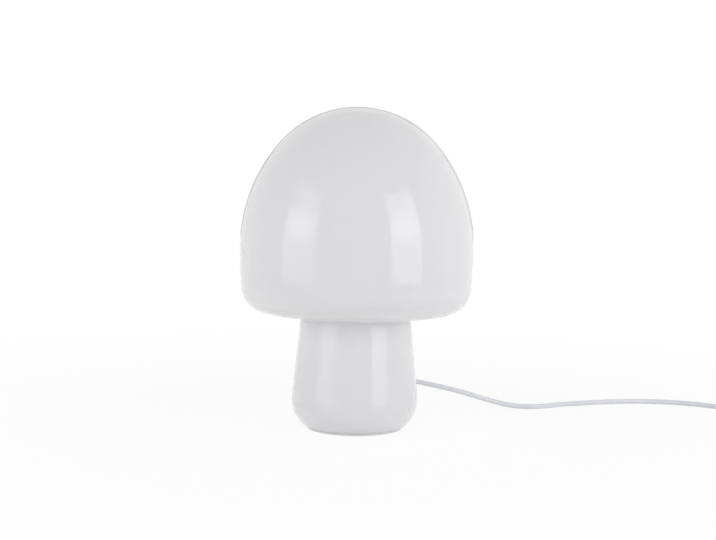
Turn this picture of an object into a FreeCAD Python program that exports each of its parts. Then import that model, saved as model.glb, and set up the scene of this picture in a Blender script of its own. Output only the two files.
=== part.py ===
import FreeCAD, Part
import math
import os
from types import SimpleNamespace

import Sketcher

# A mushroom table lamp of blown opal glass.
# Millimetres, +Z up, origin on the table in the middle of the foot, cord hole towards +Y.

DIMENSIONS = {
    # glass body, levels counted from its ground rim
    "cap_radius": 100.0,
    "glass_height": 272.3,
    "widest_level": 152.4,
    "flank_arc": 514.6,
    "lower_arc": 23.3,
    "cap_lower_level": 96.9,
    "neck_radius": 46.9,
    "neck_level": 98.9,
    "neck_fillet": 8.0,
    "stem_radius": 54.5,
    "base_arc": 26.8,
    "base_arc_level": 21.3,
    "glass_wall": 3.0,
    # cord hole through the back of the stem, and its grommet
    "cord_hole_radius": 4.8,
    "cord_hole_level": 26.2,
    "grommet_flange_radius": 6.5,
    "grommet_flange_thick": 1.4,
    "grommet_nose_radius": 3.8,
    "grommet_nose_length": 4.0,
    "wall_hug": 0.5,
    # foot ring, base plate and rim gasket
    "foot_inner_radius": 37.0,
    "foot_outer_radius": 41.4,
    "foot_thick": 1.0,
    "plate_radius": 42.0,
    "plate_thick": 1.0,
    "hub_radius": 36.0,
    "hub_height": 13.0,
    "plate_bend": 1.0,
    "gasket_inner_radius": 39.0,
    "gasket_thick": 0.6,
    # friction springs between the hub and the rim of the glass
    "spring_width": 9.0,
    "spring_thick": 0.4,
    "spring_tab": 9.0,
    "spring_bend": 1.6,
    "rivet_radius": 1.2,
    "rivet_head_radius": 2.2,
    "rivet_head_height": 0.9,
    "rivet_circle": 30.5,
    # threaded tube that carries the lampholder, and its nuts
    "riser_radius": 5.0,
    "riser_bore": 4.0,
    "riser_start": 6.0,
    "lead_slot_level": 20.0,
    "lead_slot_height": 9.0,
    "lead_slot_width": 5.6,
    "nut_width": 14.0,
    "nut_height": 3.0,
    "washer_radius": 9.0,
    "washer_thick": 1.0,
    # saddle clamp on the inner lead
    "clamp_place": 23.0,
    "clamp_length": 7.0,
    "clamp_half_span": 11.5,
    "clamp_thick": 1.6,
    "clamp_screw_place": 8.2,
    "clamp_screw_radius": 1.5,
    "clamp_screw_head": 2.8,
    "clamp_screw_head_height": 1.8,
    # lampholder for a small screw cap
    "holder_level": 58.0,
    "collar_radius": 7.2,
    "collar_height": 8.0,
    "holder_cap_radius": 14.2,
    "holder_cap_height": 25.0,
    "holder_wall": 1.5,
    "holder_edge": 3.5,
    "skirt_radius": 13.6,
    "skirt_top_radius": 12.4,
    "skirt_height": 24.0,
    "skirt_mouth_radius": 8.7,
    "skirt_spigot": 6.0,
    "insert_thick": 9.0,
    "insert_boss_radius": 9.0,
    "insert_boss_height": 5.0,
    "shell_radius": 7.5,
    "shell_wall": 0.35,
    "shell_height": 18.0,
    "contact_height": 2.8,
    "terminal_size": 4.0,
    "terminal_place": 6.4,
    "set_screw_radius": 1.5,
    # golf ball bulb
    "bulb_radius": 22.5,
    "bulb_length": 78.0,
    "bulb_wall": 1.4,
    "bulb_neck_radius": 8.4,
    "bulb_throat_bend": 6.0,
    "bulb_split": 45.0,
    "bulb_cap_radius": 6.8,
    "bulb_cap_height": 14.5,
    "bulb_flange_height": 1.6,
    "bulb_tip_radius": 2.2,
    "bulb_tip_height": 1.4,
    "bulb_glass_height": 1.6,
    "bulb_board_thick": 1.2,
    # cord, its cores and the gap left round what moves
    "cord_radius": 2.3,
    "core_radius": 0.95,
    "core_spread": 1.25,
    "core_climb": 7.0,
    "lead_run_in": 14.5,
    "cord_run_out": 12.0,
    "running_gap": 0.3,
    # rocker switch on the cord
    "switch_length": 60.0,
    "switch_width": 26.0,
    "switch_base_height": 8.0,
    "switch_cover_height": 9.0,
    "switch_wall": 1.6,
    "switch_corner": 8.0,
    "switch_edge": 2.0,
    "rocker_length": 17.0,
    "rocker_width": 11.0,
    "rocker_stand": 0.6,
    "rocker_dish": 1.6,
    "rocker_pivot_depth": 3.8,
    "rocker_tilt": 7.0,
    "rocker_pin_radius": 1.5,
    "switch_screw_radius": 1.3,
    "switch_screw_place_x": 8.0,
    "switch_screw_place_y": 18.0,
    "switch_at_x": 376.0,
    "switch_at_y": 22.0,
    # coil of spare cord
    "coil_at_x": 347.0,
    "coil_at_y": -96.0,
    "coil_radius": 36.0,
    "coil_pitch": 5.6,
    "coil_layer": 5.2,
    # two-pin plug
    "plug_length": 35.0,
    "plug_width": 35.0,
    "plug_back_width": 24.0,
    "plug_thick": 13.6,
    "plug_corner": 5.0,
    "plug_neck_length": 22.0,
    "plug_neck_radius": 5.2,
    "plug_neck_end_radius": 3.0,
    "plug_at_y": -172.0,
    "plug_pin_radius": 2.0,
    "plug_pin_length": 19.0,
    "plug_pin_spacing": 17.5,
}

SPRING_COUNT = 3
FIRST_SPRING_ANGLE = 30.0
COIL_HALF_TURNS_IN = 7
COIL_HALF_TURNS_OUT = 6

# how the dome's two arcs share its height, how much of a cord's run a bend takes, how round an arch is
CROWN_SHARE = 2.6864
BEND_SHARE = 0.45
ARCH = 0.98
SMALL_EDGE = 0.5
NEAR = 0.01

V = FreeCAD.Vector
UP = V(0, 0, 1)
ORIGIN = V(0, 0, 0)


class Size(float):
    """A length that remembers the spreadsheet formula it comes from."""

    def __new__(cls, value, formula):
        size = float.__new__(cls, value)
        size.formula = formula
        return size

    def __add__(self, other):
        return Size(float(self) + float(other), f"({self.formula} + {formula_of(other)})")

    def __radd__(self, other):
        return Size(float(other) + float(self), f"({formula_of(other)} + {self.formula})")

    def __sub__(self, other):
        return Size(float(self) - float(other), f"({self.formula} - {formula_of(other)})")

    def __rsub__(self, other):
        return Size(float(other) - float(self), f"({formula_of(other)} - {self.formula})")

    def __mul__(self, other):
        return Size(float(self) * float(other), f"({self.formula} * {formula_of(other)})")

    def __rmul__(self, other):
        return Size(float(other) * float(self), f"({formula_of(other)} * {self.formula})")

    def __truediv__(self, other):
        return Size(float(self) / float(other), f"({self.formula} / {formula_of(other)})")

    def __neg__(self):
        return Size(-float(self), f"(0 - {self.formula})")


def formula_of(value):
    return getattr(value, "formula", repr(float(value)))


def root(size):
    return Size(math.sqrt(size), f"sqrt({size.formula})")


def make_sheet():
    sheet = doc.addObject("Spreadsheet::Sheet", "sizes")
    for row, (name, value) in enumerate(DIMENSIONS.items(), 1):
        sheet.set(f"A{row}", name)
        sheet.set(f"B{row}", repr(value))
        sheet.setAlias(f"B{row}", name)
    doc.recompute()
    return SimpleNamespace(**{name: Size(sheet.get(name), f"sizes.{name}") for name in DIMENSIONS})


doc = FreeCAD.newDocument("mushroom_lamp")
d = make_sheet()
pieces = []


# ---------------------------------------------------------------- drawing helpers

def bind(thing, prop, size):
    """Set a property and, where it is a size, tie it to the sheet."""
    setattr(thing, prop, float(size))
    if isinstance(size, Size):
        thing.setExpression(prop, size.formula)


def keep(piece, label):
    """Name a finished piece and put it on the list of files to write."""
    piece.Label = label
    pieces.append(piece)
    return piece


def place(piece, x=0.0, y=0.0, z=0.0, axis=UP, angle=0.0):
    piece.Placement = FreeCAD.Placement(V(x, y, z), FreeCAD.Rotation(axis, float(angle)))
    for letter, value in (("x", x), ("y", y), ("z", z)):
        if isinstance(value, Size):
            piece.setExpression(f"Placement.Base.{letter}", value.formula)
    return piece


def new_body(name):
    return doc.addObject("PartDesign::Body", name)


def new_sketch(body, role, name="outline", height=0.0):
    sketch = body.newObject("Sketcher::SketchObject", f"{body.Name}_{name}")
    plane = [face for face in body.Origin.OriginFeatures if face.Role == role][0]
    sketch.AttachmentSupport = [(plane, "")]
    sketch.MapMode = "FlatFace"
    sketch.AttachmentOffset = FreeCAD.Placement(V(0, 0, height), FreeCAD.Rotation())
    if isinstance(height, Size):
        sketch.setExpression("AttachmentOffset.Base.z", height.formula)
    return sketch


def rule(sketch, *words, size=None):
    """Add a constraint, with its size tied to the sheet where it has one."""
    if size is None:
        return sketch.addConstraint(Sketcher.Constraint(*words))
    number = sketch.addConstraint(Sketcher.Constraint(*words, float(size)))
    if isinstance(size, Size):
        sketch.setExpression(f"Constraints[{number}]", size.formula)
    return number


def pin_point(sketch, geometry, which, across, up):
    """Hold a point at its distances from the sketch's axes."""
    if float(across) == 0.0:
        rule(sketch, "PointOnObject", geometry, which, -2)
    else:
        rule(sketch, "DistanceX", -1, 1, geometry, which, size=across)
    if float(up) == 0.0:
        rule(sketch, "PointOnObject", geometry, which, -1)
    else:
        rule(sketch, "DistanceY", -1, 1, geometry, which, size=up)


def add_line(sketch, start, end):
    return sketch.addGeometry(Part.LineSegment(start, end), False)


def add_arc(sketch, centre, radius, start, end):
    circle = Part.Circle(centre, UP, float(radius))
    return sketch.addGeometry(Part.ArcOfCircle(circle, start, end), False)


def angle_to(centre, point):
    return math.atan2(point.y - centre.y, point.x - centre.x)


def draw_outline(sketch, corners):
    """Draw a closed outline through corners (across, up) or (across, up, rounding)."""
    points = [V(corner[0], corner[1], 0) for corner in corners]
    arrive, leave, arcs = [], [], []
    for place_in_loop, corner in enumerate(corners):
        here = points[place_in_loop]
        if len(corner) == 2:
            arrive.append(here)
            leave.append(here)
            arcs.append(None)
            continue
        back = (points[place_in_loop - 1] - here).normalize()
        ahead = (points[(place_in_loop + 1) % len(points)] - here).normalize()
        half = back.getAngle(ahead) / 2
        run = corner[2] / math.tan(half)
        centre = here + (back + ahead).normalize() * float(corner[2] / math.sin(half))
        arrive.append(here + back * float(run))
        leave.append(here + ahead * float(run))
        left_turn = back.cross(ahead).z < 0
        first, last = (arrive[-1], leave[-1]) if left_turn else (leave[-1], arrive[-1])
        arc = add_arc(sketch, centre, corner[2], angle_to(centre, first), angle_to(centre, last))
        arcs.append((arc, 1 if left_turn else 2))
    lines = []
    for place_in_loop, start in enumerate(leave):
        lines.append(add_line(sketch, start, arrive[(place_in_loop + 1) % len(points)]))
    for place_in_loop, corner in enumerate(corners):
        before, after = lines[place_in_loop - 1], lines[place_in_loop]
        if arcs[place_in_loop] is None:
            rule(sketch, "Coincident", before, 2, after, 1)
            pin_point(sketch, after, 1, corner[0], corner[1])
            continue
        arc, entry = arcs[place_in_loop]
        rule(sketch, "Tangent", before, 2, arc, entry)
        rule(sketch, "Tangent", arc, 3 - entry, after, 1)
        rule(sketch, "Radius", arc, size=corner[2])
        mark = sketch.addGeometry(Part.Point(points[place_in_loop]), True)
        rule(sketch, "PointOnObject", mark, 1, before)
        rule(sketch, "PointOnObject", mark, 1, after)
        pin_point(sketch, mark, 1, corner[0], corner[1])


def draw_circle(sketch, across, up, radius):
    circle = sketch.addGeometry(Part.Circle(V(across, up, 0), UP, float(radius)), False)
    pin_point(sketch, circle, 3, across, up)
    rule(sketch, "Radius", circle, size=radius)


def revolved(name, corners):
    """A piece turned about its own upright axis from its half section."""
    body = new_body(name)
    sketch = new_sketch(body, "XZ_Plane")
    draw_outline(sketch, corners)
    turn = body.newObject("PartDesign::Revolution", f"{name}_turn")
    turn.Profile = sketch
    turn.ReferenceAxis = (sketch, ["V_Axis"])
    turn.Angle = 360
    return body


def padded(name, role, corners, length, middle=False, height=0.0):
    """A piece of even thickness from its outline."""
    body = new_body(name)
    sketch = new_sketch(body, role, height=height)
    draw_outline(sketch, corners)
    add_pad(body, sketch, length, middle)
    return body


def add_pad(body, sketch, length, middle=False, name="pad"):
    pad = body.newObject("PartDesign::Pad", f"{body.Name}_{name}")
    pad.Profile = sketch
    bind(pad, "Length", length)
    pad.Midplane = middle
    return pad


def cut_through(body, sketch, name="cut"):
    """Cut a sketch right through a body, both ways from its plane."""
    pocket = body.newObject("PartDesign::Pocket", f"{body.Name}_{name}")
    pocket.Profile = sketch
    pocket.Type = "ThroughAll"
    pocket.Midplane = True
    return pocket


def round_edges(body, chosen, radius):
    """Fillet the edges of a body's latest feature that the rule picks."""
    doc.recompute()
    base = body.Tip
    names = [f"Edge{number}" for number, edge in enumerate(base.Shape.Edges, 1) if chosen(edge.BoundBox)]
    fillet = body.newObject("PartDesign::Fillet", f"{body.Name}_rounding")
    fillet.Base = (base, names)
    bind(fillet, "Radius", radius)
    doc.recompute()


def box_corners(half_across, low, high):
    return [(-half_across, low), (half_across, low), (half_across, high), (-half_across, high)]


# ---------------------------------------------------------------- levels up the lamp

PLATE_LEVEL = d.foot_thick
FLANGE_TOP = PLATE_LEVEL + d.plate_thick
RIM_LEVEL = FLANGE_TOP + d.gasket_thick
HUB_TOP = PLATE_LEVEL + d.hub_height
RISER_TOP = d.holder_level + d.collar_height + d.holder_wall
SKIRT_LEVEL = d.holder_level + d.holder_cap_height
INSERT_LEVEL = SKIRT_LEVEL - d.skirt_spigot
INSERT_TOP = INSERT_LEVEL + d.insert_thick
BULB_TIP = INSERT_TOP + d.contact_height + d.running_gap
CORD_BED = HUB_TOP + d.cord_radius
NUT_CLEAR = d.running_gap / 3


# ---------------------------------------------------------------- glass

def tangent_angle(point, centre, radius, side):
    """Direction from a circle's centre to where a line from the point touches it."""
    reach = point - centre
    return math.atan2(reach.y, reach.x) + side * math.acos(radius / reach.Length)


def on_circle(centre, radius, angle):
    return centre + V(math.cos(angle), math.sin(angle), 0) * float(radius)


def glass_section(sketch):
    """Half section of the blown wall: eight arcs and lines outside, the same inside, one wall apart."""
    base = V(d.stem_radius - d.base_arc, d.base_arc_level, 0)
    neck = V(d.neck_radius, d.neck_level, 0)
    flank = V(d.cap_radius - d.flank_arc, d.widest_level, 0)
    lower_level = d.cap_lower_level + d.lower_arc
    drop = lower_level - d.widest_level
    lower = V(flank.x + math.sqrt((d.flank_arc - d.lower_arc) ** 2 - drop ** 2), lower_level, 0)
    crown_arc = (d.cap_radius * CROWN_SHARE - (d.glass_height - d.widest_level)) / (CROWN_SHARE - 1)
    crown = V(0, d.glass_height - crown_arc, 0)
    rise = crown.y - d.widest_level
    shoulder_arc = (d.cap_radius ** 2 + rise ** 2 - crown_arc ** 2) / (2 * (d.cap_radius - crown_arc))
    shoulder = V(d.cap_radius - shoulder_arc, d.widest_level, 0)

    stem_angle = tangent_angle(neck, base, d.base_arc, -1)
    under_angle = tangent_angle(neck, lower, d.lower_arc, 1)
    flank_angle = angle_to(flank, lower)
    crown_angle = math.atan2(rise / (shoulder_arc - crown_arc), -shoulder.x / (shoulder_arc - crown_arc))
    down_stem = (on_circle(base, d.base_arc, stem_angle) - neck).normalize()
    along_under = (on_circle(lower, d.lower_arc, under_angle) - neck).normalize()
    half = down_stem.getAngle(along_under) / 2
    bend = neck + (down_stem + along_under).normalize() * (float(d.neck_fillet) / math.sin(half))
    stem_side = math.pi + stem_angle
    under_side = under_angle - math.pi

    loops = []
    for inset in (0.0, float(d.glass_wall)):
        base_radius = d.base_arc - inset
        rim = V(base.x + math.sqrt(base_radius ** 2 - base.y ** 2), 0, 0)
        parts = SimpleNamespace(rim=rim)
        parts.base = add_arc(sketch, base, base_radius, angle_to(base, rim), stem_angle)
        stem_start = on_circle(base, base_radius, stem_angle)
        stem_end = on_circle(bend, d.neck_fillet + inset, stem_side)
        parts.stem = add_line(sketch, stem_start, stem_end)
        parts.bend = add_arc(sketch, bend, d.neck_fillet + inset, under_side, stem_side)
        under_start = on_circle(bend, d.neck_fillet + inset, under_side)
        under_end = on_circle(lower, d.lower_arc - inset, under_angle)
        parts.under = add_line(sketch, under_start, under_end)
        parts.lower = add_arc(sketch, lower, d.lower_arc - inset, under_angle, flank_angle)
        parts.flank = add_arc(sketch, flank, d.flank_arc - inset, flank_angle, 0)
        parts.shoulder = add_arc(sketch, shoulder, shoulder_arc - inset, 0, crown_angle)
        parts.crown = add_arc(sketch, crown, crown_arc - inset, crown_angle, math.pi / 2)
        rule(sketch, "Tangent", parts.base, 2, parts.stem, 1)
        rule(sketch, "Tangent", parts.stem, 2, parts.bend, 2)
        rule(sketch, "Tangent", parts.bend, 1, parts.under, 1)
        rule(sketch, "Tangent", parts.under, 2, parts.lower, 1)
        rule(sketch, "Tangent", parts.lower, 2, parts.flank, 1)
        rule(sketch, "Coincident", parts.flank, 2, parts.shoulder, 1)
        rule(sketch, "Tangent", parts.shoulder, 2, parts.crown, 1)
        rule(sketch, "PointOnObject", parts.base, 1, -1)
        rule(sketch, "PointOnObject", parts.crown, 2, -2)
        loops.append(parts)
    outer, inner = loops

    ground_rim = add_line(sketch, inner.rim, outer.rim)
    rule(sketch, "Coincident", ground_rim, 1, inner.base, 1)
    rule(sketch, "Coincident", ground_rim, 2, outer.base, 1)
    top = add_line(sketch, V(0, d.glass_height, 0), V(0, d.glass_height - d.glass_wall, 0))
    rule(sketch, "Coincident", top, 1, outer.crown, 2)
    rule(sketch, "Coincident", top, 2, inner.crown, 2)

    corner = sketch.addGeometry(Part.Point(neck), True)
    rule(sketch, "PointOnObject", corner, 1, outer.stem)
    rule(sketch, "PointOnObject", corner, 1, outer.under)
    pin_point(sketch, corner, 1, d.neck_radius, d.neck_level)
    pin_point(sketch, outer.base, 3, d.stem_radius - d.base_arc, d.base_arc_level)
    rule(sketch, "Radius", outer.base, size=d.base_arc)
    rule(sketch, "Radius", outer.bend, size=d.neck_fillet)
    rule(sketch, "Radius", outer.lower, size=d.lower_arc)
    rule(sketch, "DistanceY", -1, 1, outer.lower, 3, size=lower_level)
    rule(sketch, "Radius", outer.flank, size=d.flank_arc)
    rule(sketch, "DistanceY", -1, 1, outer.flank, 3, size=d.widest_level)
    rule(sketch, "DistanceY", -1, 1, outer.shoulder, 3, size=d.widest_level)
    pin_point(sketch, outer.flank, 2, d.cap_radius, d.widest_level)
    rule(sketch, "PointOnObject", outer.crown, 3, -2)
    rule(sketch, "Radius", outer.crown, size=crown_arc)
    rule(sketch, "DistanceY", -1, 1, outer.crown, 2, size=d.glass_height)

    for name in ("base", "bend", "lower", "flank", "shoulder", "crown"):
        rule(sketch, "Coincident", getattr(inner, name), 3, getattr(outer, name), 3)
    rule(sketch, "Radius", inner.base, size=d.base_arc - d.glass_wall)
    rule(sketch, "Radius", inner.bend, size=d.neck_fillet + d.glass_wall)
    rule(sketch, "Radius", inner.flank, size=d.flank_arc - d.glass_wall)
    rule(sketch, "DistanceY", -1, 1, inner.flank, 2, size=d.widest_level)
    return stem_angle


def make_glass():
    blank = new_body("glass_blank")
    sketch = new_sketch(blank, "XZ_Plane")
    wall_tilt = glass_section(sketch)
    turn = blank.newObject("PartDesign::Revolution", "glass_turn")
    turn.Profile = sketch
    turn.ReferenceAxis = (sketch, ["V_Axis"])
    turn.Angle = 360
    place(blank, z=RIM_LEVEL)
    doc.recompute()

    drill = doc.addObject("Part::Cylinder", "cord_drill")
    bind(drill, "Radius", d.cord_hole_radius)
    reach = d.cord_hole_radius * 4
    bind(drill, "Height", reach * 2)
    drill.Placement = hole_frame(wall_tilt, -reach)
    glass = doc.addObject("Part::Cut", "glass_body")
    glass.Base = blank
    glass.Tool = drill
    keep(glass, "glass_body")
    return wall_tilt


def wall_point(wall_tilt, level, inset):
    """Radius of the stem wall at a level of the glass, that far in from its outer face."""
    base_x = d.stem_radius - d.base_arc
    touch_x = base_x + d.base_arc * math.cos(wall_tilt)
    touch_z = d.base_arc_level + d.base_arc * math.sin(wall_tilt)
    return touch_x - (level - touch_z) * math.tan(wall_tilt) - inset / math.cos(wall_tilt)


def hole_frame(wall_tilt, along=0.0):
    """Frame with its Z out of the stem's back, square to the wall at the cord hole."""
    outward = V(0, math.cos(wall_tilt), math.sin(wall_tilt))
    start = V(0, wall_point(wall_tilt, d.cord_hole_level, 0), RIM_LEVEL + d.cord_hole_level)
    turn = FreeCAD.Rotation(V(1, 0, 0), math.degrees(wall_tilt) - 90)
    return FreeCAD.Placement(start + outward * float(along), turn)


def make_grommet(wall_tilt):
    """Soft bush: nose and flange outside, neck through the wall, snap flange inside."""
    inner_face = d.wall_hug + d.glass_wall
    bush = revolved("cord_grommet", [
        (d.cord_radius + d.running_gap, -(inner_face + d.grommet_flange_thick)),
        (d.grommet_flange_radius - d.grommet_flange_thick / 2, -(inner_face + d.grommet_flange_thick)),
        (d.grommet_flange_radius, -inner_face),
        (d.cord_hole_radius - d.running_gap / 2, -inner_face),
        (d.cord_hole_radius - d.running_gap / 2, d.running_gap / 3),
        (d.grommet_flange_radius, d.running_gap / 3),
        (d.grommet_flange_radius, d.grommet_flange_thick, SMALL_EDGE),
        (d.grommet_nose_radius, d.grommet_flange_thick),
        (d.grommet_nose_radius, d.grommet_nose_length, SMALL_EDGE),
        (d.cord_radius + d.running_gap, d.grommet_nose_length),
    ])
    bush.Placement = hole_frame(wall_tilt)
    keep(bush, "cord_grommet")


# ---------------------------------------------------------------- base unit

def make_foot_and_plate():
    foot = revolved("foot_ring", [
        (d.foot_inner_radius, 0.0),
        (d.foot_outer_radius, 0.0),
        (d.foot_outer_radius, d.foot_thick),
        (d.foot_inner_radius, d.foot_thick),
    ])
    keep(foot, "foot_ring")

    inside = d.hub_radius - d.plate_thick
    ceiling = d.hub_height - d.plate_thick
    plate = revolved("base_plate", [
        (d.riser_radius + NUT_CLEAR, ceiling),
        (inside, ceiling, d.plate_bend),
        (inside, 0.0, d.plate_bend + d.plate_thick),
        (d.plate_radius, 0.0),
        (d.plate_radius, d.plate_thick),
        (d.hub_radius, d.plate_thick, d.plate_bend),
        (d.hub_radius, d.hub_height, d.plate_bend + d.plate_thick),
        (d.riser_radius + NUT_CLEAR, d.hub_height),
    ])
    holes = new_sketch(plate, "XY_Plane", "holes")
    for side in (-1, 1):
        draw_circle(holes, d.clamp_screw_place * side, d.clamp_place, d.clamp_screw_radius + NUT_CLEAR)
    for angle in spring_angles():
        across = d.rivet_circle * math.cos(math.radians(angle))
        up = d.rivet_circle * math.sin(math.radians(angle))
        draw_circle(holes, across, up, d.rivet_radius + NUT_CLEAR)
    doc.recompute()
    cut_through(plate, holes)
    place(plate, z=PLATE_LEVEL)
    keep(plate, "base_plate")

    gasket = revolved("rim_gasket", [
        (d.gasket_inner_radius, 0.0),
        (d.plate_radius, 0.0),
        (d.plate_radius, d.gasket_thick),
        (d.gasket_inner_radius, d.gasket_thick),
    ])
    place(gasket, z=FLANGE_TOP)
    keep(gasket, "rim_gasket")


def spring_angles():
    return [FIRST_SPRING_ANGLE + number * 360.0 / SPRING_COUNT for number in range(SPRING_COUNT)]


def lip_radius():
    """Radius of the opening in the ground rim, where the springs' crowns stand."""
    arc = d.base_arc - d.glass_wall
    return d.stem_radius - d.base_arc + root(arc * arc - d.base_arc_level * d.base_arc_level)


def make_springs():
    """Leaf springs riveted on the hub, bent over its edge and bowed out to the rim's lip."""
    lip = lip_radius() - d.running_gap
    crown = root(lip * lip - d.spring_width * d.spring_width / 4)
    thick = d.spring_thick
    wall = d.hub_radius + NUT_CLEAR
    low = FLANGE_TOP + d.gasket_thick / 2
    elbow = HUB_TOP - d.hub_height / 3
    tab_end = d.hub_radius - d.spring_tab
    bend = d.plate_bend + d.plate_thick + NUT_CLEAR
    for number, angle in enumerate(spring_angles(), 1):
        name = f"spring_clip_{number}"
        strip = padded(name, "XZ_Plane", [
            (tab_end, HUB_TOP),
            (wall, HUB_TOP, bend),
            (wall, elbow, d.spring_bend + thick),
            (crown - thick, low),
            (crown, low),
            (wall + thick, elbow, d.spring_bend),
            (wall + thick, HUB_TOP + thick, bend + thick),
            (tab_end, HUB_TOP + thick),
        ], d.spring_width, middle=True)
        hole = new_sketch(strip, "XY_Plane", "hole")
        draw_circle(hole, d.rivet_circle, 0.0, d.rivet_radius + NUT_CLEAR)
        doc.recompute()
        cut_through(strip, hole)
        place(strip, angle=angle)
        keep(strip, name)

        rivet_name = f"clip_rivet_{number}"
        grip = d.plate_thick + thick
        rivet = revolved(rivet_name, [
            (0.0, -d.rivet_head_height),
            (d.rivet_head_radius, -d.rivet_head_height),
            (d.rivet_head_radius, 0.0),
            (d.rivet_radius, 0.0),
            (d.rivet_radius, grip),
            (d.rivet_head_radius, grip),
            (d.rivet_head_radius, grip + d.rivet_head_height, SMALL_EDGE),
            (0.0, grip + d.rivet_head_height),
        ])
        at = FreeCAD.Rotation(UP, angle).multVec(V(d.rivet_circle, 0, 0))
        place(rivet, at.x, at.y, HUB_TOP - d.plate_thick)
        keep(rivet, rivet_name)


def hexagon(radius):
    angles = [math.radians(60 * n) for n in range(6)]
    return [(radius * math.cos(angle), radius * math.sin(angle)) for angle in angles]


def make_riser():
    tube = revolved("riser_tube", [
        (d.riser_bore, 0.0),
        (d.riser_radius, 0.0),
        (d.riser_radius, RISER_TOP - d.riser_start),
        (d.riser_bore, RISER_TOP - d.riser_start),
    ])
    slot = new_sketch(tube, "XZ_Plane", "lead_slot")
    low = d.lead_slot_level - d.riser_start
    draw_outline(slot, [
        (-d.lead_slot_width / 2, low, d.riser_bore / 4),
        (d.lead_slot_width / 2, low, d.riser_bore / 4),
        (d.lead_slot_width / 2, low + d.lead_slot_height, d.riser_bore / 4),
        (-d.lead_slot_width / 2, low + d.lead_slot_height, d.riser_bore / 4),
    ])
    doc.recompute()
    pocket = tube.newObject("PartDesign::Pocket", "lead_slot_cut")
    pocket.Profile = slot
    bind(pocket, "Length", d.riser_radius * 2)
    doc.recompute()
    if tube.Shape.CenterOfGravity.y > -NEAR:
        pocket.Reversed = True
    place(tube, z=d.riser_start)
    keep(tube, "riser_tube")

    corner = d.nut_width / math.sqrt(3)
    for name, level in (("lower_nut", HUB_TOP - d.plate_thick - d.nut_height),
                        ("upper_nut", HUB_TOP + d.washer_thick)):
        nut = padded(name, "XY_Plane", hexagon(corner), d.nut_height)
        bore = new_sketch(nut, "XY_Plane", "bore")
        draw_circle(bore, 0.0, 0.0, d.riser_radius + NUT_CLEAR)
        doc.recompute()
        cut_through(nut, bore)
        place(nut, z=level)
        keep(nut, name)
    washer = revolved("lock_washer", [
        (d.riser_radius + NUT_CLEAR, 0.0),
        (d.washer_radius, 0.0),
        (d.washer_radius, d.washer_thick),
        (d.riser_radius + NUT_CLEAR, d.washer_thick),
    ])
    place(washer, z=HUB_TOP)
    keep(washer, "lock_washer")


def make_cord_clamp():
    """Saddle that holds the inner lead down on the hub, with its two screws."""
    saddle = d.cord_radius + d.clamp_thick
    foot = d.clamp_thick
    clamp = padded("cord_clamp", "XZ_Plane", [
        (-d.clamp_half_span, 0.0),
        (-d.cord_radius, 0.0),
        (-d.cord_radius, d.cord_radius * 2, d.cord_radius * ARCH),
        (d.cord_radius, d.cord_radius * 2, d.cord_radius * ARCH),
        (d.cord_radius, 0.0),
        (d.clamp_half_span, 0.0),
        (d.clamp_half_span, foot),
        (saddle, foot),
        (saddle, d.cord_radius * 2 + foot, saddle * ARCH),
        (-saddle, d.cord_radius * 2 + foot, saddle * ARCH),
        (-saddle, foot),
        (-d.clamp_half_span, foot),
    ], d.clamp_length, middle=True)
    holes = new_sketch(clamp, "XY_Plane", "holes")
    for side in (-1, 1):
        draw_circle(holes, d.clamp_screw_place * side, 0.0, d.clamp_screw_radius + NUT_CLEAR)
    doc.recompute()
    cut_through(clamp, holes)
    place(clamp, y=d.clamp_place, z=HUB_TOP)
    keep(clamp, "cord_clamp")
    for number, side in enumerate((-1, 1), 1):
        screw = pan_screw(f"clamp_screw_{number}", d.clamp_screw_radius, d.clamp_thick + d.plate_thick * 3,
                          d.clamp_screw_head, d.clamp_screw_head_height)
        place(screw, d.clamp_screw_place * side, d.clamp_place, HUB_TOP + d.clamp_thick)


def pan_screw(name, radius, length, head_radius, head_height):
    """Screw with a rounded head, its origin under the head."""
    screw = revolved(name, [
        (0.0, -length),
        (radius, -length),
        (radius, 0.0),
        (head_radius, 0.0),
        (head_radius, head_height, head_height / 2),
        (0.0, head_height),
    ])
    return keep(screw, name)


# ---------------------------------------------------------------- lampholder

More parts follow.
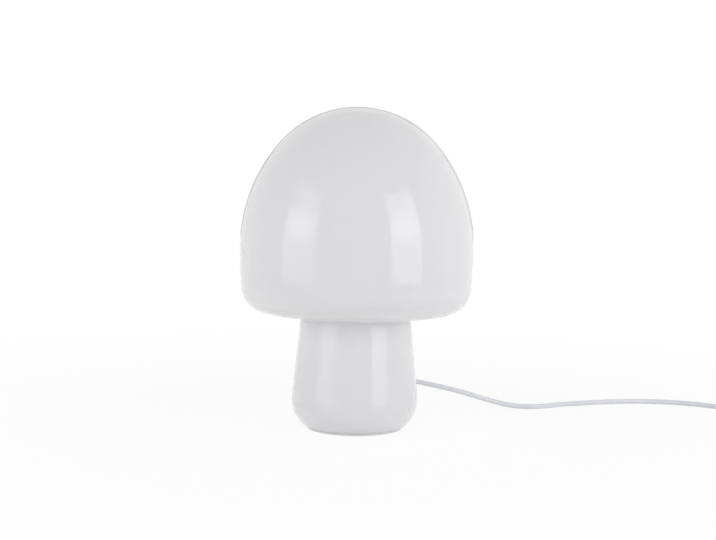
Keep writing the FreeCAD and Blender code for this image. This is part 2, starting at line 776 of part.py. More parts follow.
def make_holder():
    wall = d.holder_wall
    inside = d.holder_cap_radius - wall
    bore = d.riser_radius + NUT_CLEAR
    shoulder = d.collar_height + wall
    cap = revolved("holder_cap", [
        (bore, 0.0),
        (d.collar_radius, 0.0),
        (d.collar_radius, d.collar_height, SMALL_EDGE * 2),
        (d.holder_cap_radius, shoulder, d.holder_edge),
        (d.holder_cap_radius, d.holder_cap_height),
        (inside, d.holder_cap_height),
        (inside, shoulder + wall, d.holder_edge - wall),
        (bore, d.collar_height + wall),
    ])
    thread = new_sketch(cap, "YZ_Plane", "set_screw_hole")
    draw_circle(thread, 0.0, d.collar_height / 2, d.set_screw_radius + NUT_CLEAR)
    doc.recompute()
    pocket = cap.newObject("PartDesign::Pocket", "set_screw_cut")
    pocket.Profile = thread
    bind(pocket, "Length", d.collar_radius * 2)
    doc.recompute()
    if cap.Shape.CenterOfGravity.x > 0:
        pocket.Reversed = True
    place(cap, z=d.holder_level)
    keep(cap, "holder_cap")
    grub = revolved("holder_set_screw", [
        (0.0, 0.0),
        (d.set_screw_radius, 0.0),
        (d.set_screw_radius, d.collar_radius - d.riser_radius + NUT_CLEAR),
        (0.0, d.collar_radius - d.riser_radius + NUT_CLEAR),
    ])
    place(grub, d.riser_radius + NUT_CLEAR, 0.0, d.holder_level + d.collar_height / 2, V(0, 1, 0), 90)
    keep(grub, "holder_set_screw")

    spigot = inside - NUT_CLEAR
    spigot_bore = spigot - wall
    skirt = revolved("holder_skirt", [
        (spigot_bore, -d.skirt_spigot),
        (spigot, -d.skirt_spigot),
        (spigot, 0.0),
        (d.skirt_radius, 0.0),
        (d.skirt_top_radius, d.skirt_height, d.holder_edge / 3),
        (d.skirt_mouth_radius, d.skirt_height),
        (d.skirt_mouth_radius, d.skirt_height - wall),
        (d.skirt_top_radius - wall, d.skirt_height - wall),
    ])
    place(skirt, z=SKIRT_LEVEL)
    keep(skirt, "holder_skirt")

    cup = d.shell_radius + NUT_CLEAR
    insert = revolved("holder_insert", [
        (0.0, 0.0),
        (spigot_bore - NUT_CLEAR, 0.0),
        (spigot_bore - NUT_CLEAR, d.insert_thick),
        (d.insert_boss_radius, d.insert_thick),
        (d.insert_boss_radius, d.insert_thick + d.insert_boss_height),
        (cup, d.insert_thick + d.insert_boss_height),
        (cup, d.insert_thick),
        (0.0, d.insert_thick),
    ])
    place(insert, z=INSERT_LEVEL)
    keep(insert, "holder_insert")

    hole = d.shell_radius / 2
    shell = revolved("screw_shell", [
        (hole, 0.0),
        (d.shell_radius, 0.0),
        (d.shell_radius, d.shell_height),
        (d.shell_radius - d.shell_wall, d.shell_height),
        (d.shell_radius - d.shell_wall, d.shell_wall),
        (hole, d.shell_wall),
    ])
    place(shell, z=INSERT_TOP)
    keep(shell, "screw_shell")

    reach = hole * 3 / 4
    leaf = d.shell_wall
    contact = padded("centre_contact", "XZ_Plane", [
        (-reach, 0.0),
        (-reach / 3, 0.0),
        (reach / 2, d.contact_height - leaf),
        (reach, d.contact_height - leaf),
        (reach, d.contact_height),
        (reach / 3, d.contact_height),
        (-reach / 2, leaf),
        (-reach, leaf),
    ], reach, middle=True)
    place(contact, z=INSERT_TOP)
    keep(contact, "centre_contact")

    for number, side in enumerate((-1, 1), 1):
        name = f"terminal_{number}"
        half = d.terminal_size / 2
        block = padded(name, "XY_Plane", box_corners(half, -half, half), d.terminal_size)
        place(block, x=d.terminal_place * side, z=INSERT_LEVEL - d.terminal_size)
        keep(block, name)


# ---------------------------------------------------------------- bulb

def make_bulb():
    """Golf ball bulb, its pieces drawn from the tip of its centre contact."""
    glass_level = d.bulb_tip_height
    cap_level = glass_level + d.bulb_glass_height
    flange_level = cap_level + d.bulb_cap_height
    neck_level = flange_level + d.bulb_flange_height
    leaf = d.shell_wall
    chamfer = leaf * 3
    flare = leaf * 2

    pieces_of_bulb = [
        ("bulb_contact", [
            (0.0, 0.0),
            (d.bulb_tip_radius, 0.0, SMALL_EDGE),
            (d.bulb_tip_radius, glass_level),
            (0.0, glass_level),
        ]),
        ("bulb_insulator", [
            (0.0, glass_level),
            (d.bulb_tip_radius + leaf, glass_level),
            (d.bulb_cap_radius - chamfer, cap_level),
            (0.0, cap_level),
        ]),
        ("bulb_screw_cap", [
            (0.0, cap_level),
            (d.bulb_cap_radius - chamfer, cap_level),
            (d.bulb_cap_radius, cap_level + chamfer),
            (d.bulb_cap_radius, flange_level),
            (d.bulb_cap_radius + flare, neck_level - leaf),
            (d.bulb_cap_radius + flare, neck_level),
            (d.bulb_cap_radius - leaf, neck_level),
            (d.bulb_cap_radius - leaf, cap_level + chamfer),
            (d.bulb_cap_radius - chamfer - leaf, cap_level + leaf),
            (0.0, cap_level + leaf),
        ]),
    ]
    plug = d.bulb_cap_radius - leaf - NUT_CLEAR
    drop = d.bulb_length - d.bulb_radius - d.bulb_split
    split = root(d.bulb_radius * d.bulb_radius - drop * drop)
    throat = neck_level + d.bulb_neck_radius / 2
    wall = d.bulb_wall
    pieces_of_bulb.append(("bulb_housing", [
        (plug - wall, flange_level - d.bulb_cap_height / 2),
        (plug, flange_level - d.bulb_cap_height / 2),
        (plug, neck_level),
        (d.bulb_neck_radius, neck_level),
        (d.bulb_neck_radius, throat, d.bulb_throat_bend),
        (split, d.bulb_split),
        (split - wall, d.bulb_split),
        (d.bulb_neck_radius - wall, throat + wall / 2, d.bulb_throat_bend),
        (plug - wall, neck_level),
    ]))
    pieces_of_bulb.append(("bulb_board", [
        (0.0, d.bulb_split - d.bulb_board_thick),
        (split - wall - d.bulb_board_thick, d.bulb_split - d.bulb_board_thick),
        (split - wall - d.bulb_board_thick, d.bulb_split),
        (0.0, d.bulb_split),
    ]))
    for name, corners in pieces_of_bulb:
        piece = revolved(name, corners)
        place(piece, z=BULB_TIP)
        keep(piece, name)

    dome = new_body("bulb_dome")
    sketch = new_sketch(dome, "XZ_Plane")
    middle = V(0, d.bulb_length - d.bulb_radius, 0)
    ends = []
    for radius in (d.bulb_radius, d.bulb_radius - wall):
        start = V(math.sqrt(radius ** 2 - drop ** 2), d.bulb_split, 0)
        arc = add_arc(sketch, middle, radius, angle_to(middle, start), math.pi / 2)
        rule(sketch, "Radius", arc, size=radius)
        rule(sketch, "DistanceY", -1, 1, arc, 1, size=d.bulb_split)
        rule(sketch, "PointOnObject", arc, 2, -2)
        ends.append((arc, start, V(0, middle.y + radius, 0)))
    outer, inner = ends
    pin_point(sketch, outer[0], 3, 0.0, d.bulb_length - d.bulb_radius)
    rule(sketch, "Coincident", outer[0], 3, inner[0], 3)
    for which, start, end in ((1, outer[1], inner[1]), (2, outer[2], inner[2])):
        closing = add_line(sketch, start, end)
        rule(sketch, "Coincident", closing, 1, outer[0], which)
        rule(sketch, "Coincident", closing, 2, inner[0], which)
    turn = dome.newObject("PartDesign::Revolution", "bulb_dome_turn")
    turn.Profile = sketch
    turn.ReferenceAxis = (sketch, ["V_Axis"])
    turn.Angle = 360
    place(dome, z=BULB_TIP)
    keep(dome, "bulb_dome")


# ---------------------------------------------------------------- cord

def route_edges(points):
    """Straight runs joined by tangent arcs, each as large as its two runs allow."""
    corners = [V(*point) for point in points]
    edges, radii = [], []
    start = corners[0]
    for before, here, after in zip(corners, corners[1:], corners[2:]):
        back, ahead = (before - here), (after - here)
        trim = BEND_SHARE * min(back.Length, ahead.Length)
        back.normalize()
        ahead.normalize()
        half_turn = (math.pi - back.getAngle(ahead)) / 2
        radius = trim / math.tan(half_turn)
        entry, leave = here + back * trim, here + ahead * trim
        inward = (back + ahead).normalize()
        middle = here + inward * (radius / math.cos(half_turn) - radius)
        edges.append(Part.LineSegment(start, entry).toShape())
        edges.append(Part.Arc(entry, middle, leave).toShape())
        radii.append(radius)
        start = leave
    edges.append(Part.LineSegment(start, corners[-1]).toShape())
    return edges, radii


def sweep(name, edges, radius, first_direction):
    """A round tube along edges that follow each other smoothly."""
    path = Part.Wire(edges)
    begin = edges[0].valueAt(edges[0].FirstParameter)
    ring = Part.Wire(Part.Circle(begin, first_direction, float(radius)).toShape())
    solid = path.makePipeShell([ring], True, False)
    tube = doc.addObject("Part::Feature", name)
    tube.Shape = solid
    section = math.pi * radius ** 2
    print(f"{name}: {path.Length:.1f} long, volume over section times length "
          f"{solid.Volume / (section * path.Length):.4f}")
    return keep(tube, name)


def lay_cord(name, points, radius):
    edges, radii = route_edges(points)
    sweep(name, edges, radius, V(*points[1]) - V(*points[0]))
    print("   bend radii " + " ".join(f"{bend:.0f}" for bend in radii))


def make_leads(wall_tilt):
    """The sheathed lead from the grommet to the clamp, and its two cores up the riser."""
    entry = hole_frame(wall_tilt, d.grommet_nose_length).Base
    drop_start = hole_frame(wall_tilt, d.grommet_nose_length - d.lead_run_in).Base
    bed_start = d.clamp_place + d.clamp_length * 1.5
    sheath_end = d.clamp_place - d.clamp_length * 1.5
    lay_cord("inner_lead", [
        tuple(entry),
        tuple(drop_start),
        (0, bed_start, CORD_BED),
        (0, sheath_end, CORD_BED),
    ], d.cord_radius)
    slot = d.lead_slot_level + d.lead_slot_height / 2
    terminal_foot = INSERT_LEVEL - d.terminal_size
    for number, side in enumerate((-1, 1), 1):
        lay_cord(f"core_lead_{number}", [
            (side * d.core_spread, sheath_end, CORD_BED),
            (side * d.core_spread, sheath_end - d.core_radius * 2.6, CORD_BED),
            (side * d.core_spread, d.riser_radius - d.core_radius, slot - d.core_radius),
            (side * d.core_spread, d.core_radius, slot + d.core_climb),
            (side * (d.core_spread + NUT_CLEAR), 0.0, RISER_TOP),
            (side * d.terminal_place, 0.0, terminal_foot - d.core_radius * 1.8),
            (side * d.terminal_place, 0.0, terminal_foot),
        ], d.core_radius)


def make_cord(wall_tilt):
    """From the grommet to the right, down on the table, to the switch and the coil."""
    on_table = d.cord_radius
    entry = hole_frame(wall_tilt, d.grommet_nose_length).Base
    square_out = hole_frame(wall_tilt, d.grommet_nose_length + d.cord_run_out).Base
    switch_end = d.switch_length / 2
    lay_cord("cord_lead", [
        tuple(entry),
        tuple(square_out),
        (6.5, 81.5, 30.4),
        (18.0, 88.4, 29.7),
        (36.0, 90.8, 27.9),
        (58.0, 90.2, 25.1),
        (80.0, 88.8, 21.0),
        (99.5, 88.4, 16.6),
        (118.5, 89.4, 10.8),
        (137.0, 91.2, 5.4),
        (154.0, 92.6, on_table),
        (171.5, 92.4, on_table),
        (185.0, 99.0, on_table),
        (198.5, 107.4, on_table),
        (214.0, 112.6, on_table),
        (236.0, 121.4, on_table),
        (262.0, 128.4, on_table),
        (290.0, 129.8, on_table),
        (317.0, 124.6, on_table),
        (341.0, 111.6, on_table),
        (359.5, 93.0, on_table),
        (371.0, 73.0, 3.6),
        (d.switch_at_x, d.switch_at_y + switch_end, d.switch_base_height),
    ], d.cord_radius)
    coil_side = d.coil_at_x + d.coil_radius
    coil_start = d.coil_at_y + d.cord_radius * 2
    lay_cord("cord_tail", [
        (d.switch_at_x, d.switch_at_y - switch_end, d.switch_base_height),
        (d.switch_at_x + 0.4, d.switch_at_y - switch_end - 15.0, 5.6),
        (378.4, -40.0, on_table),
        (381.6, -57.0, on_table),
        (coil_side, coil_start + 16.0, on_table),
        (coil_side, coil_start, on_table),
    ], d.cord_radius)


def make_coil():
    """Spare cord: half turns that step in by half a pitch, climb, and step out again."""
    step = d.coil_pitch / 2
    radii = [d.coil_radius - step * n for n in range(COIL_HALF_TURNS_IN)]
    climb = len(radii)
    radii.append(d.coil_radius - step * climb)
    radii += [d.coil_radius - step * (climb - 1 - n) for n in range(COIL_HALF_TURNS_OUT)]
    low, high = float(d.cord_radius), d.cord_radius + d.coil_layer
    stub = V(0, -d.cord_radius * 2, 0)
    begin = V(d.coil_at_x + d.coil_radius, d.coil_at_y, low)
    edges = [Part.LineSegment(begin - stub, begin).toShape()]
    side = -1
    for number, radius in enumerate(radii):
        end = V(begin.x + side * 2 * radius, begin.y, low if number < climb else high)
        centre = (begin + end) / 2
        reach = (end - begin) / 2
        over = V(0, side * reach.Length, 0)
        for first, last in ((begin, centre + over), (centre + over, end)):
            middle = centre + (first + last - centre * 2).normalize() * reach.Length
            edges.append(Part.Arc(first, middle, last).toShape())
        begin, side = end, -side
    edges.append(Part.LineSegment(begin, begin + stub).toShape())
    print(f"cord_coil: least gap to itself {least_gap(edges):.2f}")
    sweep("cord_coil", edges, d.cord_radius, stub)
    return begin + stub


def least_gap(edges, samples=16):
    """Least distance between turns of a tube, from points along its middle line."""
    points, along = [], 0.0
    for edge in edges:
        first, span = edge.FirstParameter, edge.LastParameter - edge.FirstParameter
        for number in range(samples):
            points.append((along + edge.Length * number / samples,
                           edge.valueAt(first + span * number / samples)))
        along += edge.Length
    apart = d.cord_radius * 8
    nearest = min((b - a).Length for i, (at, a) in enumerate(points)
                  for bt, b in points[i + 1:] if bt - at > apart)
    return nearest - d.cord_radius * 2


# ---------------------------------------------------------------- switch

def pill(length, width, corner, inset=0.0):
    """Outline of the switch housing seen from above, that far inside its outer face."""
    across, up = width / 2 - inset, length / 2 - inset
    rounding = corner - inset
    corners = ((-across, -up), (across, -up), (across, up), (-across, up))
    return [(*corner, rounding) for corner in corners]


def cord_ports(body, level):
    """Round openings at both ends of a housing for the cord."""
    ports = new_sketch(body, "XZ_Plane", "ports")
    draw_circle(ports, 0.0, level, d.cord_radius + NUT_CLEAR)
    doc.recompute()
    cut_through(body, ports, "port_cut")


def pocket_down(body, sketch, depth, upwards=False):
    """Hollow a body from the sketch's plane and check that something was cut."""
    doc.recompute()
    before = body.Shape.Volume
    pocket = body.newObject("PartDesign::Pocket", f"{body.Name}_hollow")
    pocket.Profile = sketch
    bind(pocket, "Length", depth)
    pocket.Reversed = upwards
    doc.recompute()
    if body.Shape.Volume > before - NEAR:
        raise RuntimeError(f"{body.Name}: the hollow cuts nothing")
    return pocket


def switch_screw_places():
    return ((-d.switch_screw_place_x, d.switch_screw_place_y),
            (d.switch_screw_place_x, -d.switch_screw_place_y))


def make_switch():
    length, width, wall = d.switch_length, d.switch_width, d.switch_wall
    total = d.switch_base_height + d.switch_cover_height
    pivot = total - d.rocker_pivot_depth
    lean = math.sin(math.radians(d.rocker_tilt))
    swing = (d.rocker_pivot_depth + d.rocker_stand + d.rocker_dish) * lean
    window_length = d.rocker_length / 2 + swing + d.running_gap
    window_width = d.rocker_width / 2 + d.running_gap

    base = padded("switch_base", "XY_Plane", pill(length, width, d.switch_corner), d.switch_base_height)
    hollow = new_sketch(base, "XY_Plane", "hollow", height=d.switch_base_height)
    draw_outline(hollow, pill(length, width, d.switch_corner, wall))
    pocket_down(base, hollow, d.switch_base_height - wall)
    posts = new_sketch(base, "XY_Plane", "posts")
    for side in (-1, 1):
        near, far = window_width * side, (window_width + wall) * side
        left, right = (near, far) if side > 0 else (far, near)
        draw_outline(posts, [(left, -wall), (right, -wall), (right, wall), (left, wall)])
    add_pad(base, posts, pivot - d.rocker_pin_radius - NUT_CLEAR, name="cradle")
    cord_ports(base, d.switch_base_height)
    screws = new_sketch(base, "XY_Plane", "screws")
    for across, up in switch_screw_places():
        draw_circle(screws, across, up, d.switch_screw_radius + NUT_CLEAR)
    doc.recompute()
    cut_through(base, screws, "screw_cut")
    place(base, d.switch_at_x, d.switch_at_y)
    keep(base, "switch_base")

    cover = padded("switch_cover", "XY_Plane", pill(length, width, d.switch_corner), d.switch_cover_height)
    round_edges(cover, lambda box: box.ZMin > d.switch_cover_height - NEAR, d.switch_edge)
    hollow = new_sketch(cover, "XY_Plane", "hollow")
    draw_outline(hollow, pill(length, width, d.switch_corner, wall))
    pocket_down(cover, hollow, d.switch_cover_height - wall, upwards=True)
    posts = new_sketch(cover, "XY_Plane", "posts", height=wall - d.switch_base_height)
    for across, up in switch_screw_places():
        draw_circle(posts, across, up, d.switch_screw_radius * 2)
    add_pad(cover, posts, total - wall * 1.5, name="posts")
    bores = new_sketch(cover, "XY_Plane", "bores", height=wall - d.switch_base_height)
    for across, up in switch_screw_places():
        draw_circle(bores, across, up, d.switch_screw_radius + NUT_CLEAR)
    pocket_down(cover, bores, total - wall * 3, upwards=True)
    window = new_sketch(cover, "XY_Plane", "window")
    draw_outline(window, [(-window_width, -window_length), (window_width, -window_length),
                          (window_width, window_length), (-window_width, window_length)])
    doc.recompute()
    cut_through(cover, window, "window_cut")
    cord_ports(cover, 0.0)
    place(cover, d.switch_at_x, d.switch_at_y, d.switch_base_height)
    keep(cover, "switch_cover")

    half, crest = d.rocker_length / 2, d.rocker_pivot_depth + d.rocker_stand
    rocker = padded("switch_rocker", "YZ_Plane", [
        (-half, -d.rocker_pin_radius, SMALL_EDGE * 2),
        (half, -d.rocker_pin_radius, SMALL_EDGE * 2),
        (half, crest + d.rocker_dish, SMALL_EDGE),
        (0.0, crest),
        (-half, crest + d.rocker_dish, SMALL_EDGE),
    ], d.rocker_width, middle=True)
    pins = new_sketch(rocker, "YZ_Plane", "pins")
    draw_circle(pins, 0.0, 0.0, d.rocker_pin_radius)
    add_pad(rocker, pins, (window_width + wall) * 2, middle=True, name="pins")
    place(rocker, d.switch_at_x, d.switch_at_y, pivot, V(1, 0, 0), -d.rocker_tilt)
    keep(rocker, "switch_rocker")

    for number, (across, up) in enumerate(switch_screw_places(), 1):
        name = f"switch_screw_{number}"
        screw = revolved(name, [
            (0.0, 0.0),
            (d.switch_screw_radius, 0.0),
            (d.switch_screw_radius, total - wall * 3),
            (0.0, total - wall * 3),
        ])
        place(screw, d.switch_at_x + across, d.switch_at_y + up, wall / 4)
        keep(screw, name)


# ---------------------------------------------------------------- plug

def make_plug(coil_end):
    """Flat two-pin plug lying on the table, its cord neck towards the coil."""
    half, back, thick = d.plug_width / 2, d.plug_back_width / 2, d.plug_thick
    middle = thick / 2
    body = padded("plug_body", "XY_Plane", [
        (-d.plug_neck_radius, 0.0),
        (d.plug_neck_radius, 0.0),
        (back, -d.plug_length / 3, d.plug_corner),
        (half, -d.plug_length * 2 / 3, d.plug_corner),
        (half, -d.plug_length),
        (-half, -d.plug_length),
        (-half, -d.plug_length * 2 / 3, d.plug_corner),
        (-back, -d.plug_length / 3, d.plug_corner),
    ], thick, middle=True)
    round_edges(body, lambda box: box.ZLength < NEAR and box.YMax > NEAR - d.plug_length, middle / 3)
    neck = new_sketch(body, "XY_Plane", "neck")
    draw_outline(neck, [
        (0.0, -d.plug_neck_length / 3),
        (d.plug_neck_radius, -d.plug_neck_length / 3),
        (d.plug_neck_end_radius, d.plug_neck_length, SMALL_EDGE),
        (0.0, d.plug_neck_length),
    ])
    turn = body.newObject("PartDesign::Revolution", "plug_neck_turn")
    turn.Profile = neck
    turn.ReferenceAxis = (neck, ["V_Axis"])
    turn.Angle = 360
    place(body, coil_end.x, d.plug_at_y - d.plug_neck_length, middle)
    keep(body, "plug_body")
    for number, side in enumerate((-1, 1), 1):
        name = f"plug_pin_{number}"
        pin = revolved(name, [
            (0.0, 0.0),
            (d.plug_pin_radius, 0.0),
            (d.plug_pin_radius, d.plug_pin_length, d.plug_pin_radius / 2),
            (0.0, d.plug_pin_length),
        ])
        place(pin, coil_end.x + side * d.plug_pin_spacing / 2,
              d.plug_at_y - d.plug_neck_length - d.plug_length, middle, V(1, 0, 0), 90)
        keep(pin, name)
    height = float(coil_end.z)
    lay_cord("cord_end", [
        tuple(coil_end),
        (coil_end.x, coil_end.y - 17.0, height),
        (coil_end.x - 1.2, coil_end.y - 36.0, height - 2.6),
        (coil_end.x, d.plug_at_y + 14.0, middle),
        (coil_end.x, d.plug_at_y, middle),
    ], d.cord_radius)


# ---------------------------------------------------------------- build, check and write

def check_document():
    for thing in doc.Objects:
        if any(word in ("Invalid", "Error") for word in thing.State):
            raise RuntimeError(f"{thing.Name} did not compute: {thing.State}")
    for piece in pieces:
        if piece.Shape.isNull() or not piece.Shape.isValid():
            raise RuntimeError(f"{piece.Label} has no sound solid")
        if len(piece.Shape.Solids) != 1:
            raise RuntimeError(f"{piece.Label} has {len(piece.Shape.Solids)} solids")


def write_pieces():
    os.makedirs("parts", exist_ok=True)
    for piece in pieces:
        piece.Shape.exportStep(f"parts/{piece.Label}.step")
    print(f"{len(pieces)} pieces written")


wall_tilt = make_glass()
make_grommet(wall_tilt)
make_foot_and_plate()
make_springs()
make_riser()
make_cord_clamp()
make_holder()
make_bulb()
make_leads(wall_tilt)
make_cord(wall_tilt)
make_switch()
make_plug(make_coil())
doc.recompute()
check_document()
write_pieces()
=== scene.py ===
import math

import bmesh
import bpy
from mathutils import Matrix, Vector


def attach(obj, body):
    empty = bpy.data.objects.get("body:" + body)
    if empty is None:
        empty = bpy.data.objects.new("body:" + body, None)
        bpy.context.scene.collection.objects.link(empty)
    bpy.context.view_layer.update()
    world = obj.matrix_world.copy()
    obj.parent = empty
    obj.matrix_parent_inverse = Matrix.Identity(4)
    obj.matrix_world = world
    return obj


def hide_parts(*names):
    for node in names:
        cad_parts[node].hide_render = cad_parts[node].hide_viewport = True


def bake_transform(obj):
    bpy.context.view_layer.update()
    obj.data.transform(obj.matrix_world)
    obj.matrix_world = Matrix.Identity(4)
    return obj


# A mushroom table lamp of blown opal glass, dressed for its photograph.
# Metres, +Z up, origin on the table in the middle of the foot, cord hole towards +Y.

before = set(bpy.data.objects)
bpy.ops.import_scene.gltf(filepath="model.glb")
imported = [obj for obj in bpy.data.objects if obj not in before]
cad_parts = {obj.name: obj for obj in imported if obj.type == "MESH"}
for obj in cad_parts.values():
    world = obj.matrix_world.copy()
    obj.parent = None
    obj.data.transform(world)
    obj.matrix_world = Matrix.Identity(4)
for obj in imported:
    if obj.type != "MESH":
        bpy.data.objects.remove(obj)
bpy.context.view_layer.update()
scene = bpy.context.scene
scene.view_settings.view_transform = "Standard"


def add_object(name, data):
    """A new object of the scene, at the origin."""
    item = bpy.data.objects.new(name, data)
    scene.collection.objects.link(item)
    return item


# ---------------------------------------------------------------- camera

CAMERA_PLACE = Vector((0.0, -1.0, 0.20486))
CAMERA_DOWN = 0.0689
CAMERA_TURN = 0.0013
CAMERA_ROLL = -0.0148
CAMERA_LENS = 58.63
CAMERA_SENSOR = 36.0
CAMERA_REACH = (0.02, 40.0)


def set_camera():
    """The photograph's view: a little above the lamp, a little turned and rolled."""
    forward = Vector((math.sin(CAMERA_TURN) * math.cos(CAMERA_DOWN),
                      math.cos(CAMERA_TURN) * math.cos(CAMERA_DOWN),
                      -math.sin(CAMERA_DOWN)))
    level = Vector((math.cos(CAMERA_TURN), -math.sin(CAMERA_TURN), 0.0))
    upright = level.cross(forward)
    right = math.cos(CAMERA_ROLL) * level - math.sin(CAMERA_ROLL) * upright
    up = math.sin(CAMERA_ROLL) * level + math.cos(CAMERA_ROLL) * upright
    data = bpy.data.cameras.new("studio_camera")
    data.lens = CAMERA_LENS
    data.sensor_width = CAMERA_SENSOR
    data.clip_start, data.clip_end = CAMERA_REACH
    camera = add_object("studio_camera", data)
    turn = Matrix((right, up, -forward)).transposed()
    camera.matrix_world = Matrix.Translation(CAMERA_PLACE) @ turn.to_4x4()
    scene.camera = camera


set_camera()


# ---------------------------------------------------------------- routes of the cord

CORD_THICK = 0.0046

# out of the grommet, round the stem, down to the table and on to the switch
LEAD_ROUTE = [
    (0.0, 0.05812, 0.02920), (0.0, 0.07007, 0.03039), (0.0065, 0.0815, 0.0304), (0.018, 0.0884, 0.0297),
    (0.036, 0.0908, 0.0279), (0.058, 0.0902, 0.0251), (0.080, 0.0888, 0.0210), (0.0995, 0.0884, 0.0166),
    (0.1185, 0.0894, 0.0108), (0.137, 0.0912, 0.0054), (0.154, 0.0926, 0.0023), (0.1715, 0.0924, 0.0023),
    (0.185, 0.099, 0.0023), (0.1985, 0.1074, 0.0023), (0.214, 0.1126, 0.0023), (0.236, 0.1214, 0.0023),
    (0.262, 0.1284, 0.0023), (0.290, 0.1298, 0.0023), (0.317, 0.1246, 0.0023), (0.341, 0.1116, 0.0023),
    (0.3595, 0.093, 0.0023), (0.371, 0.073, 0.0036), (0.376, 0.052, 0.008),
]

# from the switch to the coil of spare cord, and from the coil to the plug
TAIL_ROUTE = [
    (0.376, -0.008, 0.008), (0.3764, -0.023, 0.0056), (0.3784, -0.040, 0.0023),
    (0.3816, -0.057, 0.0023), (0.383, -0.0754, 0.0023),
]
PLUG_ROUTE = [
    (0.3774, -0.1006, 0.0075), (0.3774, -0.1176, 0.0075), (0.3762, -0.1366, 0.0049),
    (0.3774, -0.158, 0.0068), (0.3774, -0.172, 0.0068),
]

COIL_START = Vector((0.383, -0.096, 0.0023))
COIL_RADII = [0.036, 0.0332, 0.0304, 0.0276, 0.0248, 0.022, 0.0192, 0.0164,
              0.0192, 0.022, 0.0248, 0.0276, 0.0304, 0.0332]
COIL_CLIMBS_AT = 7
COIL_TOP = 0.0075
COIL_STEPS = 10

# from the grommet inside the stem to the clamp on the hub, and the bare cores from there up the riser
INNER_ROUTE = [(0.0, 0.05812, 0.02920), (0.0, 0.04369, 0.02776), (0.0, 0.0335, 0.0163), (0.0, 0.0125, 0.0163)]
CORE_THICK = 0.0019
CORE_ROUTE = [
    (0.00125, 0.0125, 0.0163), (0.00125, 0.01003, 0.0163), (0.00125, 0.00405, 0.02355),
    (0.00125, 0.00095, 0.0315), (0.00135, 0.0, 0.0675), (0.0064, 0.0, 0.07129), (0.0064, 0.0, 0.0730),
]


def coil_points():
    """Half turns that step in, climb to the second layer and step out again, ten points to each half."""
    points, start, side = [], COIL_START.copy(), -1
    for number, radius in enumerate(COIL_RADII):
        low = COIL_START.z if number <= COIL_CLIMBS_AT else COIL_TOP
        high = COIL_START.z if number < COIL_CLIMBS_AT else COIL_TOP
        centre = Vector((start.x + side * radius, start.y, 0.0))
        spread = radius / math.cos(math.pi / COIL_STEPS / 2)
        for step in range(COIL_STEPS):
            along = (step + 0.5) / COIL_STEPS
            angle = math.pi * along
            points.append((centre.x - side * spread * math.cos(angle),
                           centre.y + side * spread * math.sin(angle),
                           low + (high - low) * along))
        start = Vector((start.x + side * 2 * radius, start.y, high))
        side = -side
    return points


def route_line(name, points, thick=0.0, fineness=12):
    """A smooth open line through the room of its control points, round if it has a thickness."""
    data = bpy.data.curves.new(name, "CURVE")
    data.dimensions = "3D"
    spline = data.splines.new("NURBS")
    spline.points.add(len(points) - 1)
    for target, point in zip(spline.points, points):
        target.co = (*point, 1.0)
    spline.order_u = 3
    spline.use_endpoint_u = True
    data.resolution_u = fineness
    data.render_resolution_u = fineness
    if thick:
        data.bevel_depth = thick / 2
        data.bevel_resolution = 6
        data.use_fill_caps = True
    return add_object(name, data)


def as_mesh(item, name):
    """The evaluated item as a plain mesh object; the item itself is removed."""
    bpy.context.view_layer.update()
    graph = bpy.context.evaluated_depsgraph_get()
    mesh = bpy.data.meshes.new_from_object(item.evaluated_get(graph))
    mesh.name = name
    bpy.data.objects.remove(item)
    return add_object(name, mesh)


def line_points(points, fineness=12):
    """Points along the smooth line of a route."""
    thin = as_mesh(route_line("thin_line", points, fineness=fineness), "thin_line")
    along = [tuple(v.co) for v in thin.data.vertices]
    bpy.data.objects.remove(thin)
    return along


# ---------------------------------------------------------------- nodes

def join(tree, source, target):
    """Link a socket to an input, or set the input to a plain value."""
    if isinstance(source, bpy.types.NodeSocket):
        tree.links.new(source, target)
    else:
        target.default_value = source


def node(tree, kind, inputs=(), **properties):
    """A node with its properties set, and its inputs, by name or number, linked or set."""
    made = tree.nodes.new(kind)
    for name, value in properties.items():
        setattr(made, name, value)
    for label, source in dict(inputs).items():
        join(tree, source, made.inputs[label])
    return made


def maths(tree, operation, first, second=0.0):
    """A Math node; each side is a number or a socket."""
    return node(tree, "ShaderNodeMath", {0: first, 1: second}, operation=operation).outputs[0]


def vector_maths(tree, operation, first, second=(0.0, 0.0, 0.0)):
    """A Vector Math node; each side is a vector or a socket."""
    return node(tree, "ShaderNodeVectorMath", {0: first, 1: second}, operation=operation)


def spread_between(tree, value, low, high, new_low, new_high):
    """Map Range on a socket, held inside its limits."""
    limits = {"Value": value, "From Min": low, "From Max": high, "To Min": new_low, "To Max": new_high}
    return node(tree, "ShaderNodeMapRange", limits, clamp=True).outputs["Result"]


def mix_colours(tree, amount, first, second):
    """The first colour where the amount is nought, the second where it is one."""
    sides = {"Factor": amount, "A": first, "B": second}
    return node(tree, "ShaderNodeMix", sides, data_type="RGBA").outputs["Result"]


def object_place(tree):
    return node(tree, "ShaderNodeTexCoord").outputs["Object"]


def noise(tree, vector=None, **inputs):
    """Noise in the object's own room, or along another vector."""
    place = object_place(tree) if vector is None else vector
    return node(tree, "ShaderNodeTexNoise", {"Vector": place, **inputs}).outputs[0]


# ---------------------------------------------------------------- shader effects

def new_group(name, inputs, outputs):
    """An empty shader effect with named inputs (name, kind, value) and outputs (name, kind)."""
    group = bpy.data.node_groups.new(name, "ShaderNodeTree")
    for label, kind, value in inputs:
        group.interface.new_socket(label, in_out="INPUT", socket_type=kind).default_value = value
    for label, kind in outputs:
        group.interface.new_socket(label, in_out="OUTPUT", socket_type=kind)
    return group, group.nodes.new("NodeGroupInput"), group.nodes.new("NodeGroupOutput")


